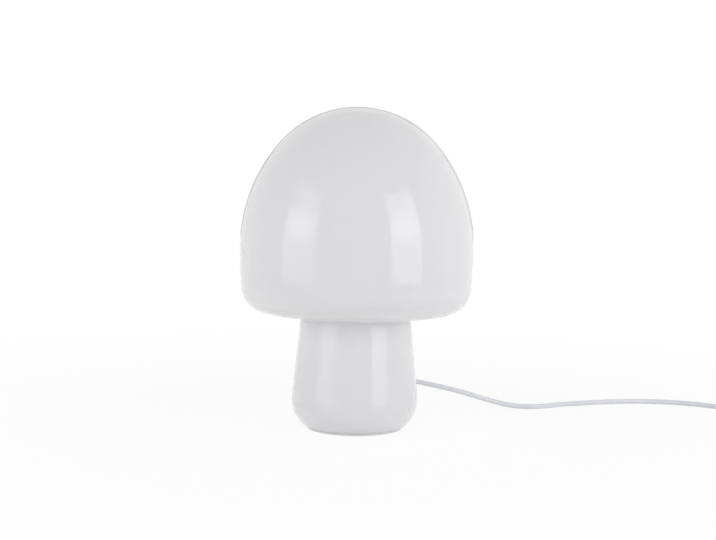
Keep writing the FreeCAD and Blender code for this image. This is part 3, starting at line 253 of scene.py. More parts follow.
def wandering_roughness(group, entry, leave, pattern):
    """The effect's Roughness, which drifts with a pattern by its Unevenness."""
    drift = maths(group, "MULTIPLY", maths(group, "SUBTRACT", pattern, 0.5), entry.outputs["Unevenness"])
    join(group, maths(group, "ADD", drift, entry.outputs["Roughness"]), leave.inputs["Roughness"])


def make_moulded_skin():
    """Fine pebbled skin of moulded plastic: a height for Bump and a roughness that wanders a little."""
    group, entry, leave = new_group("moulded_skin", [
        ("Grain size", "NodeSocketFloat", 900.0),
        ("Roughness", "NodeSocketFloat", 0.4),
        ("Unevenness", "NodeSocketFloat", 0.08),
    ], [("Height", "NodeSocketFloat"), ("Roughness", "NodeSocketFloat")])
    grain = noise(group, Scale=entry.outputs["Grain size"], Detail=3.0, Roughness=0.55)
    wandering_roughness(group, entry, leave, noise(group, Scale=60.0, Detail=4.0))
    join(group, grain, leave.inputs["Height"])
    return group


def make_two_tone():
    """Slow drift between two near colours, as in paint, plastic or glass that isn't perfectly even."""
    group, entry, leave = new_group("two_tone", [
        ("First", "NodeSocketColor", (0.8, 0.8, 0.8, 1.0)),
        ("Second", "NodeSocketColor", (0.7, 0.7, 0.7, 1.0)),
        ("Size", "NodeSocketFloat", 30.0),
    ], [("Color", "NodeSocketColor")])
    drift = noise(group, Scale=entry.outputs["Size"], Detail=5.0, Roughness=0.6)
    amount = spread_between(group, drift, 0.35, 0.65, 0.0, 1.0)
    mixed = mix_colours(group, amount, entry.outputs["First"], entry.outputs["Second"])
    join(group, mixed, leave.inputs["Color"])
    return group


def make_drawn_lines():
    """Hair lines of drawn, turned or brushed metal, along one axis or round one."""
    group, entry, leave = new_group("drawn_lines", [
        ("Stretch", "NodeSocketVector", (1.0, 1.0, 1.0)),
        ("Size", "NodeSocketFloat", 400.0),
        ("Roughness", "NodeSocketFloat", 0.3),
        ("Unevenness", "NodeSocketFloat", 0.15),
    ], [("Height", "NodeSocketFloat"), ("Roughness", "NodeSocketFloat")])
    stretched = vector_maths(group, "MULTIPLY", object_place(group), entry.outputs["Stretch"])
    lines = noise(group, stretched.outputs[0], Scale=entry.outputs["Size"], Detail=4.0, Roughness=0.65)
    wandering_roughness(group, entry, leave, lines)
    join(group, lines, leave.inputs["Height"])
    return group


def make_edge_wear_and_highlight():
    """Mask of outer edges in patches, where an edge colour is laid: worn paint where that colour is darker, a
    painted edge highlight where it is lighter.
    """
    group, entry, leave = new_group("edge_wear_and_highlight_mask", [
        ("Start", "NodeSocketFloat", 0.52),
        ("End", "NodeSocketFloat", 0.60),
    ], [("Mask", "NodeSocketFloat")])
    pointed = node(group, "ShaderNodeNewGeometry").outputs["Pointiness"]
    edges = spread_between(group, pointed, entry.outputs["Start"], entry.outputs["End"], 0.0, 1.0)
    patches = noise(group, Scale=180.0, Detail=3.0)
    join(group, maths(group, "MULTIPLY", edges, patches), leave.inputs["Mask"])
    return group


MOULDED_SKIN = make_moulded_skin()
TWO_TONE = make_two_tone()
DRAWN_LINES = make_drawn_lines()
EDGE_WEAR_AND_HIGHLIGHT = make_edge_wear_and_highlight()


# ---------------------------------------------------------------- materials

def new_material(name):
    """A material with its Principled shader, and the tree they stand in."""
    material = bpy.data.materials.new(name)
    material.use_nodes = True
    tree = material.node_tree
    shader = next(n for n in tree.nodes if n.type == "BSDF_PRINCIPLED")
    return material, tree, shader


def effect(tree, group, **values):
    """A shader effect in a material, with its own values; an underscore stands for a space."""
    made = node(tree, "ShaderNodeGroup", node_tree=group)
    for name, value in values.items():
        made.inputs[name.replace("_", " ")].default_value = value
    return made.outputs


def add_bump(tree, shader, height, strength, depth):
    bump = node(tree, "ShaderNodeBump", {"Height": height, "Strength": strength, "Distance": depth})
    join(tree, bump.outputs["Normal"], shader.inputs["Normal"])


def rgb(red, green, blue):
    return (red, green, blue, 1.0)


def moulded(name, first, second, roughness=0.4, grain=900.0, depth=0.00002, worn_and_highlit_edge=None, coat=0.0):
    """Moulded plastic, rubber or ceramic: two near tones, a pebbled skin and, where given, an edge colour:
    worn paint where darker, a painted edge highlight where lighter.
    """
    material, tree, shader = new_material(name)
    colour = effect(tree, TWO_TONE, First=first, Second=second, Size=45.0)["Color"]
    # edge colour: a darker one is worn paint, a lighter one is a painted edge highlight
    if worn_and_highlit_edge:
        colour = mix_colours(tree, effect(tree, EDGE_WEAR_AND_HIGHLIGHT)["Mask"], colour, worn_and_highlit_edge)
    join(tree, colour, shader.inputs["Base Color"])
    skin = effect(tree, MOULDED_SKIN, Grain_size=grain, Roughness=roughness, Unevenness=0.08)
    join(tree, skin["Roughness"], shader.inputs["Roughness"])
    add_bump(tree, shader, skin["Height"], 0.35, depth)
    shader.inputs["Coat Weight"].default_value = coat
    return material


def metal(name, first, second, roughness=0.3, stretch=(1.0, 1.0, 1.0), size=400.0):
    """Bare or plated metal: two near tones and hair lines from drawing, turning or pressing."""
    material, tree, shader = new_material(name)
    tone = effect(tree, TWO_TONE, First=first, Second=second, Size=70.0)
    join(tree, tone["Color"], shader.inputs["Base Color"])
    shader.inputs["Metallic"].default_value = 1.0
    lines = effect(tree, DRAWN_LINES, Stretch=stretch, Size=size, Roughness=roughness, Unevenness=0.15)
    join(tree, lines["Roughness"], shader.inputs["Roughness"])
    add_bump(tree, shader, lines["Height"], 0.25, 0.00001)
    return material


RIM_LEVEL = 0.0026
GROUND_BAND = (RIM_LEVEL + 0.0002, RIM_LEVEL + 0.0007)
GROUND_ROUGHNESS = 0.55
GLOSS_ROUGHNESS = (0.02, 0.045)
OPAL_BODY = rgb(0.800, 0.794, 0.812)
OPAL_THIN = rgb(0.778, 0.772, 0.795)
# whiter opal for a thicker wall, which is also painted light in the shade under the cap and at the foot
OPAL_THICK_AND_LIT = rgb(0.905, 0.898, 0.912)
# levels between which the wall, drawn only as whiter colour, thickens to the neck, thins again above it, and
# thins above the foot; this whitening is also painted light that lifts the shade under the cap and at the
# foot
LIT_TO_NECK_BAND = (0.062, 0.098)
LIT_PAST_NECK_BAND = (0.100, 0.112)
LIT_FOOT_BAND = (0.004, 0.022)
LIT_FOOT_SHARE = 0.45
OPAL_LOOK = {
    "IOR": 1.5, "Coat Weight": 0.4, "Coat Roughness": 0.03,
    "Subsurface Weight": 0.8, "Subsurface Radius": (1.0, 0.97, 0.94), "Subsurface Scale": 0.010,
}


def opal_glass():
    """White opal glass blown in a mould: milky body under a clear gloss, with faint waves and tiny seeds, and
    painted light that whitens it under the cap and above the foot.
    """
    material, tree, shader = new_material("blown_opal_glass")
    level = node(tree, "ShaderNodeSeparateXYZ", {0: object_place(tree)}).outputs["Z"]
    tone = effect(tree, TWO_TONE, First=OPAL_BODY, Second=OPAL_THIN, Size=9.0)
    # painted light: the colour whitens under the cap and above the foot, where shade falls
    lit_to_neck = spread_between(tree, level, *LIT_TO_NECK_BAND, 0.0, 1.0)
    lit_past_neck = spread_between(tree, level, *LIT_PAST_NECK_BAND, 1.0, 0.0)
    foot = spread_between(tree, level, *LIT_FOOT_BAND, LIT_FOOT_SHARE, 0.0)
    # share of the whiter colour: a thicker wall and painted light together
    thick = maths(tree, "MAXIMUM", maths(tree, "MULTIPLY", lit_to_neck, lit_past_neck), foot)
    join(tree, mix_colours(tree, thick, tone["Color"], OPAL_THICK_AND_LIT), shader.inputs["Base Color"])
    waves = noise(tree, Scale=16.0, Detail=1.0, Roughness=0.3)
    seeds = node(tree, "ShaderNodeTexVoronoi", {"Vector": object_place(tree), "Scale": 240.0})
    pits = spread_between(tree, seeds.outputs["Distance"], 0.0, 0.09, 0.0, 1.0)
    rare = spread_between(tree, noise(tree, Scale=70.0, Detail=0.0), 0.66, 0.70, 1.0, 0.0)
    kept = maths(tree, "MAXIMUM", pits, rare)
    height = maths(tree, "ADD", waves, maths(tree, "MULTIPLY", kept, 0.06))
    add_bump(tree, shader, height, 0.6, 0.0004)
    ground = spread_between(tree, level, *GROUND_BAND, GROUND_ROUGHNESS, 0.0)
    gloss = spread_between(tree, waves, 0.3, 0.7, *GLOSS_ROUGHNESS)
    join(tree, maths(tree, "MAXIMUM", ground, gloss), shader.inputs["Roughness"])
    for label, value in OPAL_LOOK.items():
        shader.inputs[label].default_value = value
    return material


WHITE_PLASTIC = rgb(0.78, 0.78, 0.79)
WHITE_PLASTIC_DEEP = rgb(0.73, 0.73, 0.745)

OPAL = opal_glass()
CORD_SKIN = moulded("white_cord_sheath", rgb(0.76, 0.775, 0.82), rgb(0.71, 0.73, 0.78), roughness=0.38,
                    grain=1400.0)
# painted highlight: lighter colour on the shell's outer edges
SWITCH_SHELL = moulded("white_switch_shell", WHITE_PLASTIC, WHITE_PLASTIC_DEEP, roughness=0.34,
                       worn_and_highlit_edge=rgb(0.86, 0.86, 0.86))
ROCKER_SKIN = moulded("white_rocker", rgb(0.80, 0.80, 0.81), rgb(0.76, 0.76, 0.775), roughness=0.28)
# painted highlight: lighter colour on the plug's outer edges
PLUG_SKIN = moulded("white_plug", WHITE_PLASTIC, WHITE_PLASTIC_DEEP, roughness=0.36,
                    worn_and_highlit_edge=rgb(0.86, 0.86, 0.86))
RUBBER = moulded("soft_white_rubber", rgb(0.66, 0.66, 0.66), rgb(0.58, 0.58, 0.585), roughness=0.6,
                 grain=700.0)
FOOT = moulded("white_silicone_foot", rgb(0.84, 0.84, 0.84), rgb(0.80, 0.80, 0.80), roughness=0.6,
               grain=1800.0, depth=0.00004)
PLATE_PAINT = moulded("white_plate_paint", rgb(0.82, 0.82, 0.82), rgb(0.78, 0.78, 0.79), roughness=0.45,
                      grain=500.0, depth=0.00004, worn_and_highlit_edge=rgb(0.55, 0.55, 0.56))
HOLDER_SKIN = moulded("white_holder_plastic", rgb(0.76, 0.76, 0.75), rgb(0.71, 0.71, 0.70), roughness=0.3)
CERAMIC = moulded("glazed_ceramic", rgb(0.80, 0.79, 0.75), rgb(0.74, 0.73, 0.69), roughness=0.22, coat=0.4)
CLAMP_SKIN = moulded("clear_grey_nylon", rgb(0.62, 0.62, 0.60), rgb(0.55, 0.55, 0.53), roughness=0.42)
BROWN_CORE = moulded("brown_core", rgb(0.16, 0.06, 0.025), rgb(0.12, 0.045, 0.02), roughness=0.4)
BLUE_CORE = moulded("blue_core", rgb(0.04, 0.13, 0.42), rgb(0.03, 0.10, 0.34), roughness=0.4)
BULB_OPAL = moulded("bulb_dome_frost", rgb(0.80, 0.80, 0.78), rgb(0.77, 0.77, 0.75), roughness=0.5,
                    grain=2600.0)
BULB_WHITE = moulded("bulb_housing_white", rgb(0.78, 0.78, 0.77), rgb(0.74, 0.74, 0.73), roughness=0.35)
BLACK_GLASS = moulded("black_base_glass", rgb(0.02, 0.02, 0.022), rgb(0.03, 0.03, 0.033), roughness=0.12,
                      coat=0.6)
SPRING_STEEL = metal("spring_steel", rgb(0.50, 0.50, 0.50), rgb(0.40, 0.40, 0.42), roughness=0.3,
                     stretch=(1.0, 1.0, 0.06))
ZINC = metal("zinc_plate", rgb(0.58, 0.59, 0.60), rgb(0.46, 0.47, 0.50), roughness=0.34, size=160.0)
BRASS = metal("brass", rgb(0.72, 0.53, 0.24), rgb(0.58, 0.40, 0.17), roughness=0.3, stretch=(1.0, 1.0, 8.0))
NICKEL = metal("bright_nickel", rgb(0.66, 0.64, 0.60), rgb(0.56, 0.54, 0.51), roughness=0.22,
               stretch=(1.0, 0.05, 1.0))
CAP_NICKEL = metal("bulb_cap_nickel", rgb(0.64, 0.63, 0.60), rgb(0.54, 0.53, 0.50), roughness=0.26,
                   stretch=(1.0, 1.0, 9.0))
ALUMINIUM = metal("board_aluminium", rgb(0.70, 0.71, 0.72), rgb(0.62, 0.63, 0.64), roughness=0.4)

NODE_MATERIALS = {
    OPAL: ["glass_body"],
    RUBBER: ["cord_grommet", "rim_gasket"],
    FOOT: ["foot_ring"],
    PLATE_PAINT: ["base_plate"],
    SPRING_STEEL: ["spring_clip_1", "spring_clip_2", "spring_clip_3", "lock_washer"],
    ZINC: ["clip_rivet_1", "clip_rivet_2", "clip_rivet_3", "riser_tube", "lower_nut", "upper_nut",
           "clamp_screw_1", "clamp_screw_2", "holder_set_screw", "switch_screw_1", "switch_screw_2"],
    CLAMP_SKIN: ["cord_clamp"],
    CORD_SKIN: ["inner_lead", "cord_lead", "cord_tail", "cord_coil", "cord_end"],
    BROWN_CORE: ["core_lead_1"],
    BLUE_CORE: ["core_lead_2"],
    HOLDER_SKIN: ["holder_cap", "holder_skirt"],
    CERAMIC: ["holder_insert"],
    BRASS: ["screw_shell", "centre_contact", "terminal_1", "terminal_2"],
    SWITCH_SHELL: ["switch_base", "switch_cover"],
    ROCKER_SKIN: ["switch_rocker"],
    PLUG_SKIN: ["plug_body"],
    NICKEL: ["plug_pin_1", "plug_pin_2"],
    BULB_OPAL: ["bulb_dome"],
    BULB_WHITE: ["bulb_housing"],
    ALUMINIUM: ["bulb_board"],
    CAP_NICKEL: ["bulb_screw_cap", "bulb_contact"],
    BLACK_GLASS: ["bulb_insulator"],
}


def dress_nodes():
    """Give every node of the solid model its finish."""
    left = set(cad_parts)
    for material, names in NODE_MATERIALS.items():
        for name in names:
            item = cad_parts[name]
            left.discard(name)
            if not item.material_slots:
                item.data.materials.append(material)
            for place in item.material_slots:
                place.material = material
    if left:
        raise RuntimeError(f"nodes without a finish: {sorted(left)}")


dress_nodes()


# ---------------------------------------------------------------- blown glass

CAP_RADIUS = 0.100
GLASS_HEIGHT = 0.2723
WIDEST_LEVEL = 0.1524
CROWN_ARC = 0.0882
FLANK_ARC = 0.5146
LOWER_ARC = 0.0233
CAP_LOWER_LEVEL = 0.0969
NECK = Vector((0.0469, 0.0989))
NECK_FILLET = 0.008
STEM_RADIUS = 0.0545
BASE_ARC = 0.0268
BASE_ARC_LEVEL = 0.0213
GLASS_WALL = 0.003
CORD_HOLE_RADIUS = 0.0048
CORD_HOLE_LEVEL = 0.0262
TURN_STEPS = 192
EDGE_ROUNDING = 0.0004
SHARP_ANGLE = math.radians(50)


def direction(angle):
    return Vector((math.cos(angle), math.sin(angle)))


def bearing(start, end):
    return math.atan2(end.y - start.y, end.x - start.x)


def touch_angle(point, centre, radius, side):
    """Where a line from the point touches the circle, as an angle round its centre."""
    reach = point - centre
    return math.atan2(reach.y, reach.x) + side * math.acos(radius / reach.length)


def arc_points(centre, radius, start, end, count):
    return [centre + direction(start + (end - start) * n / count) * radius for n in range(count + 1)]


BASE = Vector((STEM_RADIUS - BASE_ARC, BASE_ARC_LEVEL))
STEM_TILT = touch_angle(NECK, BASE, BASE_ARC, -1)
BASE_STEPS = 24


def wall_line(inset):
    """The glass's half section as points from its rim to its crown."""
    flank = Vector((CAP_RADIUS - FLANK_ARC, WIDEST_LEVEL))
    lower_level = CAP_LOWER_LEVEL + LOWER_ARC
    drop = lower_level - WIDEST_LEVEL
    lower = Vector((flank.x + math.sqrt((FLANK_ARC - LOWER_ARC) ** 2 - drop ** 2), lower_level))
    crown = Vector((0.0, GLASS_HEIGHT - CROWN_ARC))
    rise = crown.y - WIDEST_LEVEL
    shoulder_arc = (CAP_RADIUS ** 2 + rise ** 2 - CROWN_ARC ** 2) / (2 * (CAP_RADIUS - CROWN_ARC))
    shoulder = Vector((CAP_RADIUS - shoulder_arc, WIDEST_LEVEL))
    under_angle = touch_angle(NECK, lower, LOWER_ARC, 1)
    flank_angle = bearing(flank, lower)
    crown_angle = bearing(shoulder, crown)
    down_stem = (BASE + direction(STEM_TILT) * BASE_ARC - NECK).normalized()
    along_under = (lower + direction(under_angle) * LOWER_ARC - NECK).normalized()
    half = down_stem.angle(along_under) / 2
    bend = NECK + (down_stem + along_under).normalized() * (NECK_FILLET / math.sin(half))
    base_radius = BASE_ARC - inset
    rim = Vector((BASE.x + math.sqrt(base_radius ** 2 - BASE.y ** 2), 0.0))
    line = arc_points(BASE, base_radius, bearing(BASE, rim), STEM_TILT, BASE_STEPS)
    line += arc_points(bend, NECK_FILLET + inset, math.pi + STEM_TILT, math.pi + under_angle, 14)
    line += arc_points(lower, LOWER_ARC - inset, under_angle, flank_angle, 28)
    line += arc_points(flank, FLANK_ARC - inset, flank_angle, 0.0, 14)[1:]
    line += arc_points(shoulder, shoulder_arc - inset, 0.0, crown_angle, 48)[1:]
    line += arc_points(crown, CROWN_ARC - inset, crown_angle, math.pi / 2, 30)[1:]
    return line


def stem_radius(level, inset):
    """Radius of the wall's face at a level, on the rounded foot or on the straight stretch above it."""
    touch = BASE + direction(STEM_TILT) * (BASE_ARC - inset)
    if level < touch.y:
        return BASE.x + math.sqrt((BASE_ARC - inset) ** 2 - (level - BASE.y) ** 2)
    return touch.x - (level - touch.y) * math.tan(STEM_TILT)


# the rows and columns of the turned wall that the cord hole's own rings take the place of
HOLE_ROW_COUNT = 17
HOLE_ROW_START = 0.0162
HOLE_ROW_REACH = 0.0200
HOLE_ROWS = [HOLE_ROW_START + HOLE_ROW_REACH * n / (HOLE_ROW_COUNT - 1) for n in range(HOLE_ROW_COUNT)]
HOLE_COLUMNS = 5
HOLE_RINGS = 5
ROW_CLEARANCE = 0.0006
STRAIGHT_ROWS = 9


def glass_rows(inset):
    """(radius, level) rows of the wall from rim to crown, and the number of the cord hole's first row."""
    line = wall_line(inset)
    foot = [p for p in line[:BASE_STEPS + 1] if p.y < HOLE_ROWS[0] - ROW_CLEARANCE]
    above = line[BASE_STEPS + 1:]
    top = HOLE_ROWS[-1]
    levels = HOLE_ROWS + [top + (above[0].y - top) * n / STRAIGHT_ROWS for n in range(1, STRAIGHT_ROWS)]
    return foot + [Vector((stem_radius(level, inset), level)) for level in levels] + above, len(foot)


HOLE_CENTRE = Vector((0.0, stem_radius(CORD_HOLE_LEVEL, 0.0), CORD_HOLE_LEVEL))
HOLE_UPWARD = Vector((0.0, -math.sin(STEM_TILT), math.cos(STEM_TILT)))
HOLE_OUTWARD = Vector((0.0, math.cos(STEM_TILT), math.sin(STEM_TILT)))
CLOSING_STEPS = 12


def hole_point(across, along, inset):
    """Where a line along the cord hole's axis meets the wall's face, by closing in on it."""
    point = HOLE_CENTRE + Vector((across, 0.0, 0.0)) + HOLE_UPWARD * along - HOLE_OUTWARD * inset
    for _ in range(CLOSING_STEPS):
        point -= HOLE_OUTWARD * (math.hypot(point.x, point.y) - stem_radius(point.z, inset))
    return point


def hole_view(point):
    """A point as seen along the cord hole's axis."""
    away = point - HOLE_CENTRE
    return Vector((away.x, away.dot(HOLE_UPWARD)))


def ring_faces(shell, first, second):
    """A closed band of faces between two rings of as many points."""
    for a, b, c, d in zip(first, first[1:] + first[:1], second[1:] + second[:1], second):
        shell.faces.new((a, b, c, d))


def turned_wall(shell, rows, first, last):
    """Rows of points round the axis with faces between them, left open where the cord hole comes."""
    grid = []
    for number, row in enumerate(rows):
        if row.x < 1e-6:
            grid.append([shell.verts.new((0.0, 0.0, row.y))] * TURN_STEPS)
            continue
        made = []
        for column in range(TURN_STEPS):
            open_here = first < number < last and min(column, TURN_STEPS - column) < HOLE_COLUMNS
            across = direction(math.pi / 2 + 2 * math.pi * column / TURN_STEPS) * row.x
            made.append(None if open_here else shell.verts.new((across.x, across.y, row.y)))
        grid.append(made)
    for lower, upper in zip(grid, grid[1:]):
        for column in range(TURN_STEPS):
            following = (column + 1) % TURN_STEPS
            corners = [lower[column], lower[following], upper[following], upper[column]]
            if None not in corners:
                shell.faces.new(list(dict.fromkeys(corners)))
    return grid


def drilled_rings(shell, grid, first, last, inset):
    """Rings that lead from the opening's square border to the round cord hole; gives the hole's own ring."""
    ring = [grid[first][c] for c in range(-HOLE_COLUMNS, HOLE_COLUMNS)]
    ring += [grid[r][HOLE_COLUMNS] for r in range(first, last)]
    ring += [grid[last][c] for c in range(HOLE_COLUMNS, -HOLE_COLUMNS, -1)]
    ring += [grid[r][-HOLE_COLUMNS] for r in range(last, first, -1)]
    views = [hole_view(v.co) for v in ring]
    for step in range(1, HOLE_RINGS + 1):
        share = 1 - (1 - step / HOLE_RINGS) ** 1.5
        inward = [view.lerp(view.normalized() * CORD_HOLE_RADIUS, share) for view in views]
        fresh = [shell.verts.new(hole_point(at.x, at.y, inset)) for at in inward]
        ring_faces(shell, ring, fresh)
        ring = fresh
    return ring


def make_glass():
    """The blown wall, turned row by row, with the ground rim below and the drilled cord hole behind."""
    shell = bmesh.new()
    rims, holes = [], []
    for inset in (0.0, GLASS_WALL):
        rows, first = glass_rows(inset)
        last = first + HOLE_ROW_COUNT - 1
        grid = turned_wall(shell, rows, first, last)
        rims.append(grid[0])
        holes.append(drilled_rings(shell, grid, first, last, inset))
    ring_faces(shell, *rims)
    ring_faces(shell, *holes)
    sharp = [e for e in shell.edges if e.is_manifold and e.calc_face_angle() > SHARP_ANGLE]
    bmesh.ops.bevel(shell, geom=sharp, offset=EDGE_ROUNDING, segments=2, affect="EDGES", profile=0.5)
    bmesh.ops.translate(shell, verts=shell.verts, vec=(0.0, 0.0, RIM_LEVEL))
    bmesh.ops.recalc_face_normals(shell, faces=shell.faces)
    mesh = bpy.data.meshes.new("blown_glass")
    shell.to_mesh(mesh)
    shell.free()
    mesh.shade_smooth()
    mesh.materials.append(OPAL)
    piece = add_object("blown_glass", mesh)
    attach(piece, "glass")
    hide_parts("glass_body")


make_glass()


# ---------------------------------------------------------------- cord

def lead_along(name, points, thick, skin, replaced):
    """A round lead along a route, in place of its solid."""
    piece = as_mesh(route_line(name + "_line", points, thick), name)
    piece.data.shade_smooth()
    piece.data.materials.clear()
    piece.data.materials.append(skin)
    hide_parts(replaced)
    return piece


# the lead runs from the glass at its start to the base unit further on; it stays where it is made, on neither
# body
lead = lead_along("cord_to_switch", LEAD_ROUTE, CORD_THICK, CORD_SKIN, "cord_lead")
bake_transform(lead)
line_points(LEAD_ROUTE)

spare = route_line("cord_to_plug", TAIL_ROUTE + coil_points() + PLUG_ROUTE, CORD_THICK, fineness=6)
spare.data.materials.append(CORD_SKIN)
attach(spare, "base")
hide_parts("cord_tail", "cord_coil", "cord_end")


# ---------------------------------------------------------------- leads inside the stem

inner = lead_along("lead_in_stem", INNER_ROUTE, CORD_THICK, CORD_SKIN, "inner_lead")
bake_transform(inner)

for number, side, skin, slot in ((1, -1, BROWN_CORE, "brown_core"), (2, 1, BLUE_CORE, "blue_core")):
    mirrored = [(side * x, y, z) for x, y, z in CORE_ROUTE]
    core = lead_along(f"core_in_riser_{number}", mirrored, CORE_THICK, skin, f"core_lead_{number}")
    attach(core, "base")


# ---------------------------------------------------------------- forms that repeat or follow a line

def new_form(name, inputs):
    """An empty geometry tree: geometry in and out, named inputs (name, kind, value) and a material."""
    tree = bpy.data.node_groups.new(name, "GeometryNodeTree")
    tree.interface.new_socket("Geometry", in_out="INPUT", socket_type="NodeSocketGeometry")
    for label, kind, value in inputs:
        tree.interface.new_socket(label, in_out="INPUT", socket_type=kind).default_value = value
    tree.interface.new_socket("Material", in_out="INPUT", socket_type="NodeSocketMaterial")
    tree.interface.new_socket("Geometry", in_out="OUTPUT", socket_type="NodeSocketGeometry")
    return tree, tree.nodes.new("NodeGroupInput"), tree.nodes.new("NodeGroupOutput")


def close_form(tree, entry, leave, geometry):
    """Every form ends as real faces, smooth, in its own material."""
    real = node(tree, "GeometryNodeRealizeInstances", {"Geometry": geometry})
    smooth = node(tree, "GeometryNodeSetShadeSmooth", {"Geometry": real.outputs[0]})
    dressed = node(tree, "GeometryNodeSetMaterial",
                   {"Geometry": smooth.outputs[0], "Material": entry.outputs["Material"]})
    join(tree, dressed.outputs[0], leave.inputs["Geometry"])


def lifted(tree, geometry, level):
    """The geometry moved up to a level."""
    lift = node(tree, "ShaderNodeCombineXYZ", {"Z": level}).outputs[0]
    return node(tree, "GeometryNodeTransform", {"Geometry": geometry, "Translation": lift}).outputs[0]


def make_threaded_ridge():
    """A round ridge that winds up a cylinder and fades out at both ends."""
    tree, entry, leave = new_form("threaded_ridge", [
        ("Radius", "NodeSocketFloat", 0.005), ("Pitch", "NodeSocketFloat", 0.001),
        ("Turns", "NodeSocketFloat", 10.0), ("Ridge", "NodeSocketFloat", 0.0003),
        ("Start", "NodeSocketFloat", 0.0), ("Steps", "NodeSocketInt", 32),
    ])
    ports = entry.outputs
    line = node(tree, "GeometryNodeCurveSpiral", {
        "Resolution": ports["Steps"], "Rotations": ports["Turns"], "Start Radius": ports["Radius"],
        "End Radius": ports["Radius"], "Height": maths(tree, "MULTIPLY", ports["Pitch"], ports["Turns"])})
    along = node(tree, "GeometryNodeSplineParameter").outputs["Factor"]
    from_end = maths(tree, "MINIMUM", along, maths(tree, "SUBTRACT", 1.0, along))
    fade = maths(tree, "MINIMUM", 1.0, maths(tree, "ADD", 0.05, maths(
        tree, "MULTIPLY", from_end, maths(tree, "MULTIPLY", ports["Turns"], 2.0))))
    round_wire = node(tree, "GeometryNodeCurvePrimitiveCircle", {"Resolution": 6, "Radius": ports["Ridge"]})
    ridge = node(tree, "GeometryNodeCurveToMesh", {
        "Curve": line.outputs[0], "Profile Curve": round_wire.outputs[0], "Scale": fade, "Fill Caps": True})
    close_form(tree, entry, leave, lifted(tree, ridge.outputs[0], ports["Start"]))
    return tree


def make_ringed_sleeve():
    """A round sleeve along the guide line, tapered from end to end, with rings standing off or cut in."""
    tree, entry, leave = new_form("ringed_sleeve", [
        ("Start radius", "NodeSocketFloat", 0.004), ("End radius", "NodeSocketFloat", 0.003),
        ("Rings", "NodeSocketFloat", 6.0), ("Ring height", "NodeSocketFloat", 0.0003),
        ("Plain end", "NodeSocketFloat", 0.12), ("Steps", "NodeSocketInt", 120),
    ])
    ports = entry.outputs
    line = node(tree, "GeometryNodeMeshToCurve", {"Mesh": ports["Geometry"]})
    even = node(tree, "GeometryNodeResampleCurve", {"Curve": line.outputs[0], "Count": ports["Steps"]})
    along = node(tree, "GeometryNodeSplineParameter").outputs["Factor"]
    taper = spread_between(tree, along, 0.0, 1.0, ports["Start radius"], ports["End radius"])
    far_end = maths(tree, "SUBTRACT", 1.0, ports["Plain end"])
    ringed = spread_between(tree, along, ports["Plain end"], far_end, 0.0, 1.0)
    turn = maths(tree, "MULTIPLY", maths(tree, "MULTIPLY", ringed, ports["Rings"]), 2 * math.pi)
    wave = maths(tree, "SUBTRACT", 0.5, maths(tree, "MULTIPLY", maths(tree, "COSINE", turn), 0.5))
    raised = maths(tree, "MULTIPLY", spread_between(tree, wave, 0.25, 0.75, 0.0, 1.0), ports["Ring height"])
    rounding = maths(tree, "MINIMUM", maths(tree, "MULTIPLY", maths(tree, "SUBTRACT", 1.0, along), 40.0), 1.0)
    end_edge = spread_between(tree, rounding, 0.0, 1.0, 0.86, 1.0)
    radius = maths(tree, "MULTIPLY", maths(tree, "ADD", taper, raised), end_edge)
    ring = node(tree, "GeometryNodeCurvePrimitiveCircle", {"Resolution": 40, "Radius": 1.0})
    sleeve = node(tree, "GeometryNodeCurveToMesh", {
        "Curve": even.outputs[0], "Profile Curve": ring.outputs[0], "Scale": radius, "Fill Caps": True})
    close_form(tree, entry, leave, sleeve.outputs[0])
    return tree


BAR_END = 1.04


def rounded_bar(tree, length, radius):
    """A short bar along X with rounded ends."""
    half = maths(tree, "MULTIPLY", length, 0.5)
    first = node(tree, "ShaderNodeCombineXYZ", {"X": maths(tree, "MULTIPLY", half, -1.0)})
    last = node(tree, "ShaderNodeCombineXYZ", {"X": half})
    line = node(tree, "GeometryNodeCurvePrimitiveLine", {"Start": first.outputs[0], "End": last.outputs[0]})
    even = node(tree, "GeometryNodeResampleCurve", {"Curve": line.outputs[0], "Count": 9})
    along = node(tree, "GeometryNodeSplineParameter").outputs["Factor"]
    from_middle = maths(tree, "ABSOLUTE", maths(tree, "SUBTRACT", maths(tree, "MULTIPLY", along, 2.0), 1.0))
    drop = maths(tree, "POWER", from_middle, 6.0)
    swell = maths(tree, "SQRT", maths(tree, "SUBTRACT", BAR_END, drop))
    ring = node(tree, "GeometryNodeCurvePrimitiveCircle", {"Resolution": 10, "Radius": radius})
    bar = {"Curve": even.outputs[0], "Profile Curve": ring.outputs[0], "Scale": swell, "Fill Caps": True}
    return node(tree, "GeometryNodeCurveToMesh", bar).outputs[0]


def make_bar_row():
    """A row of rounded bars, each along X, spaced by one step."""
    tree, entry, leave = new_form("bar_row", [
        ("Count", "NodeSocketInt", 5), ("First", "NodeSocketVector", (0.0, 0.0, 0.0)),
        ("Step", "NodeSocketVector", (0.0, 0.002, 0.0)), ("Length", "NodeSocketFloat", 0.01),
        ("Thickness", "NodeSocketFloat", 0.0005),
    ])
    ports = entry.outputs
    places = node(tree, "GeometryNodeMeshLine", {
        "Count": ports["Count"], "Start Location": ports["First"], "Offset": ports["Step"]})
    bars = node(tree, "GeometryNodeInstanceOnPoints", {
        "Points": places.outputs[0], "Instance": rounded_bar(tree, ports["Length"], ports["Thickness"])})
    close_form(tree, entry, leave, bars.outputs[0])
    return tree


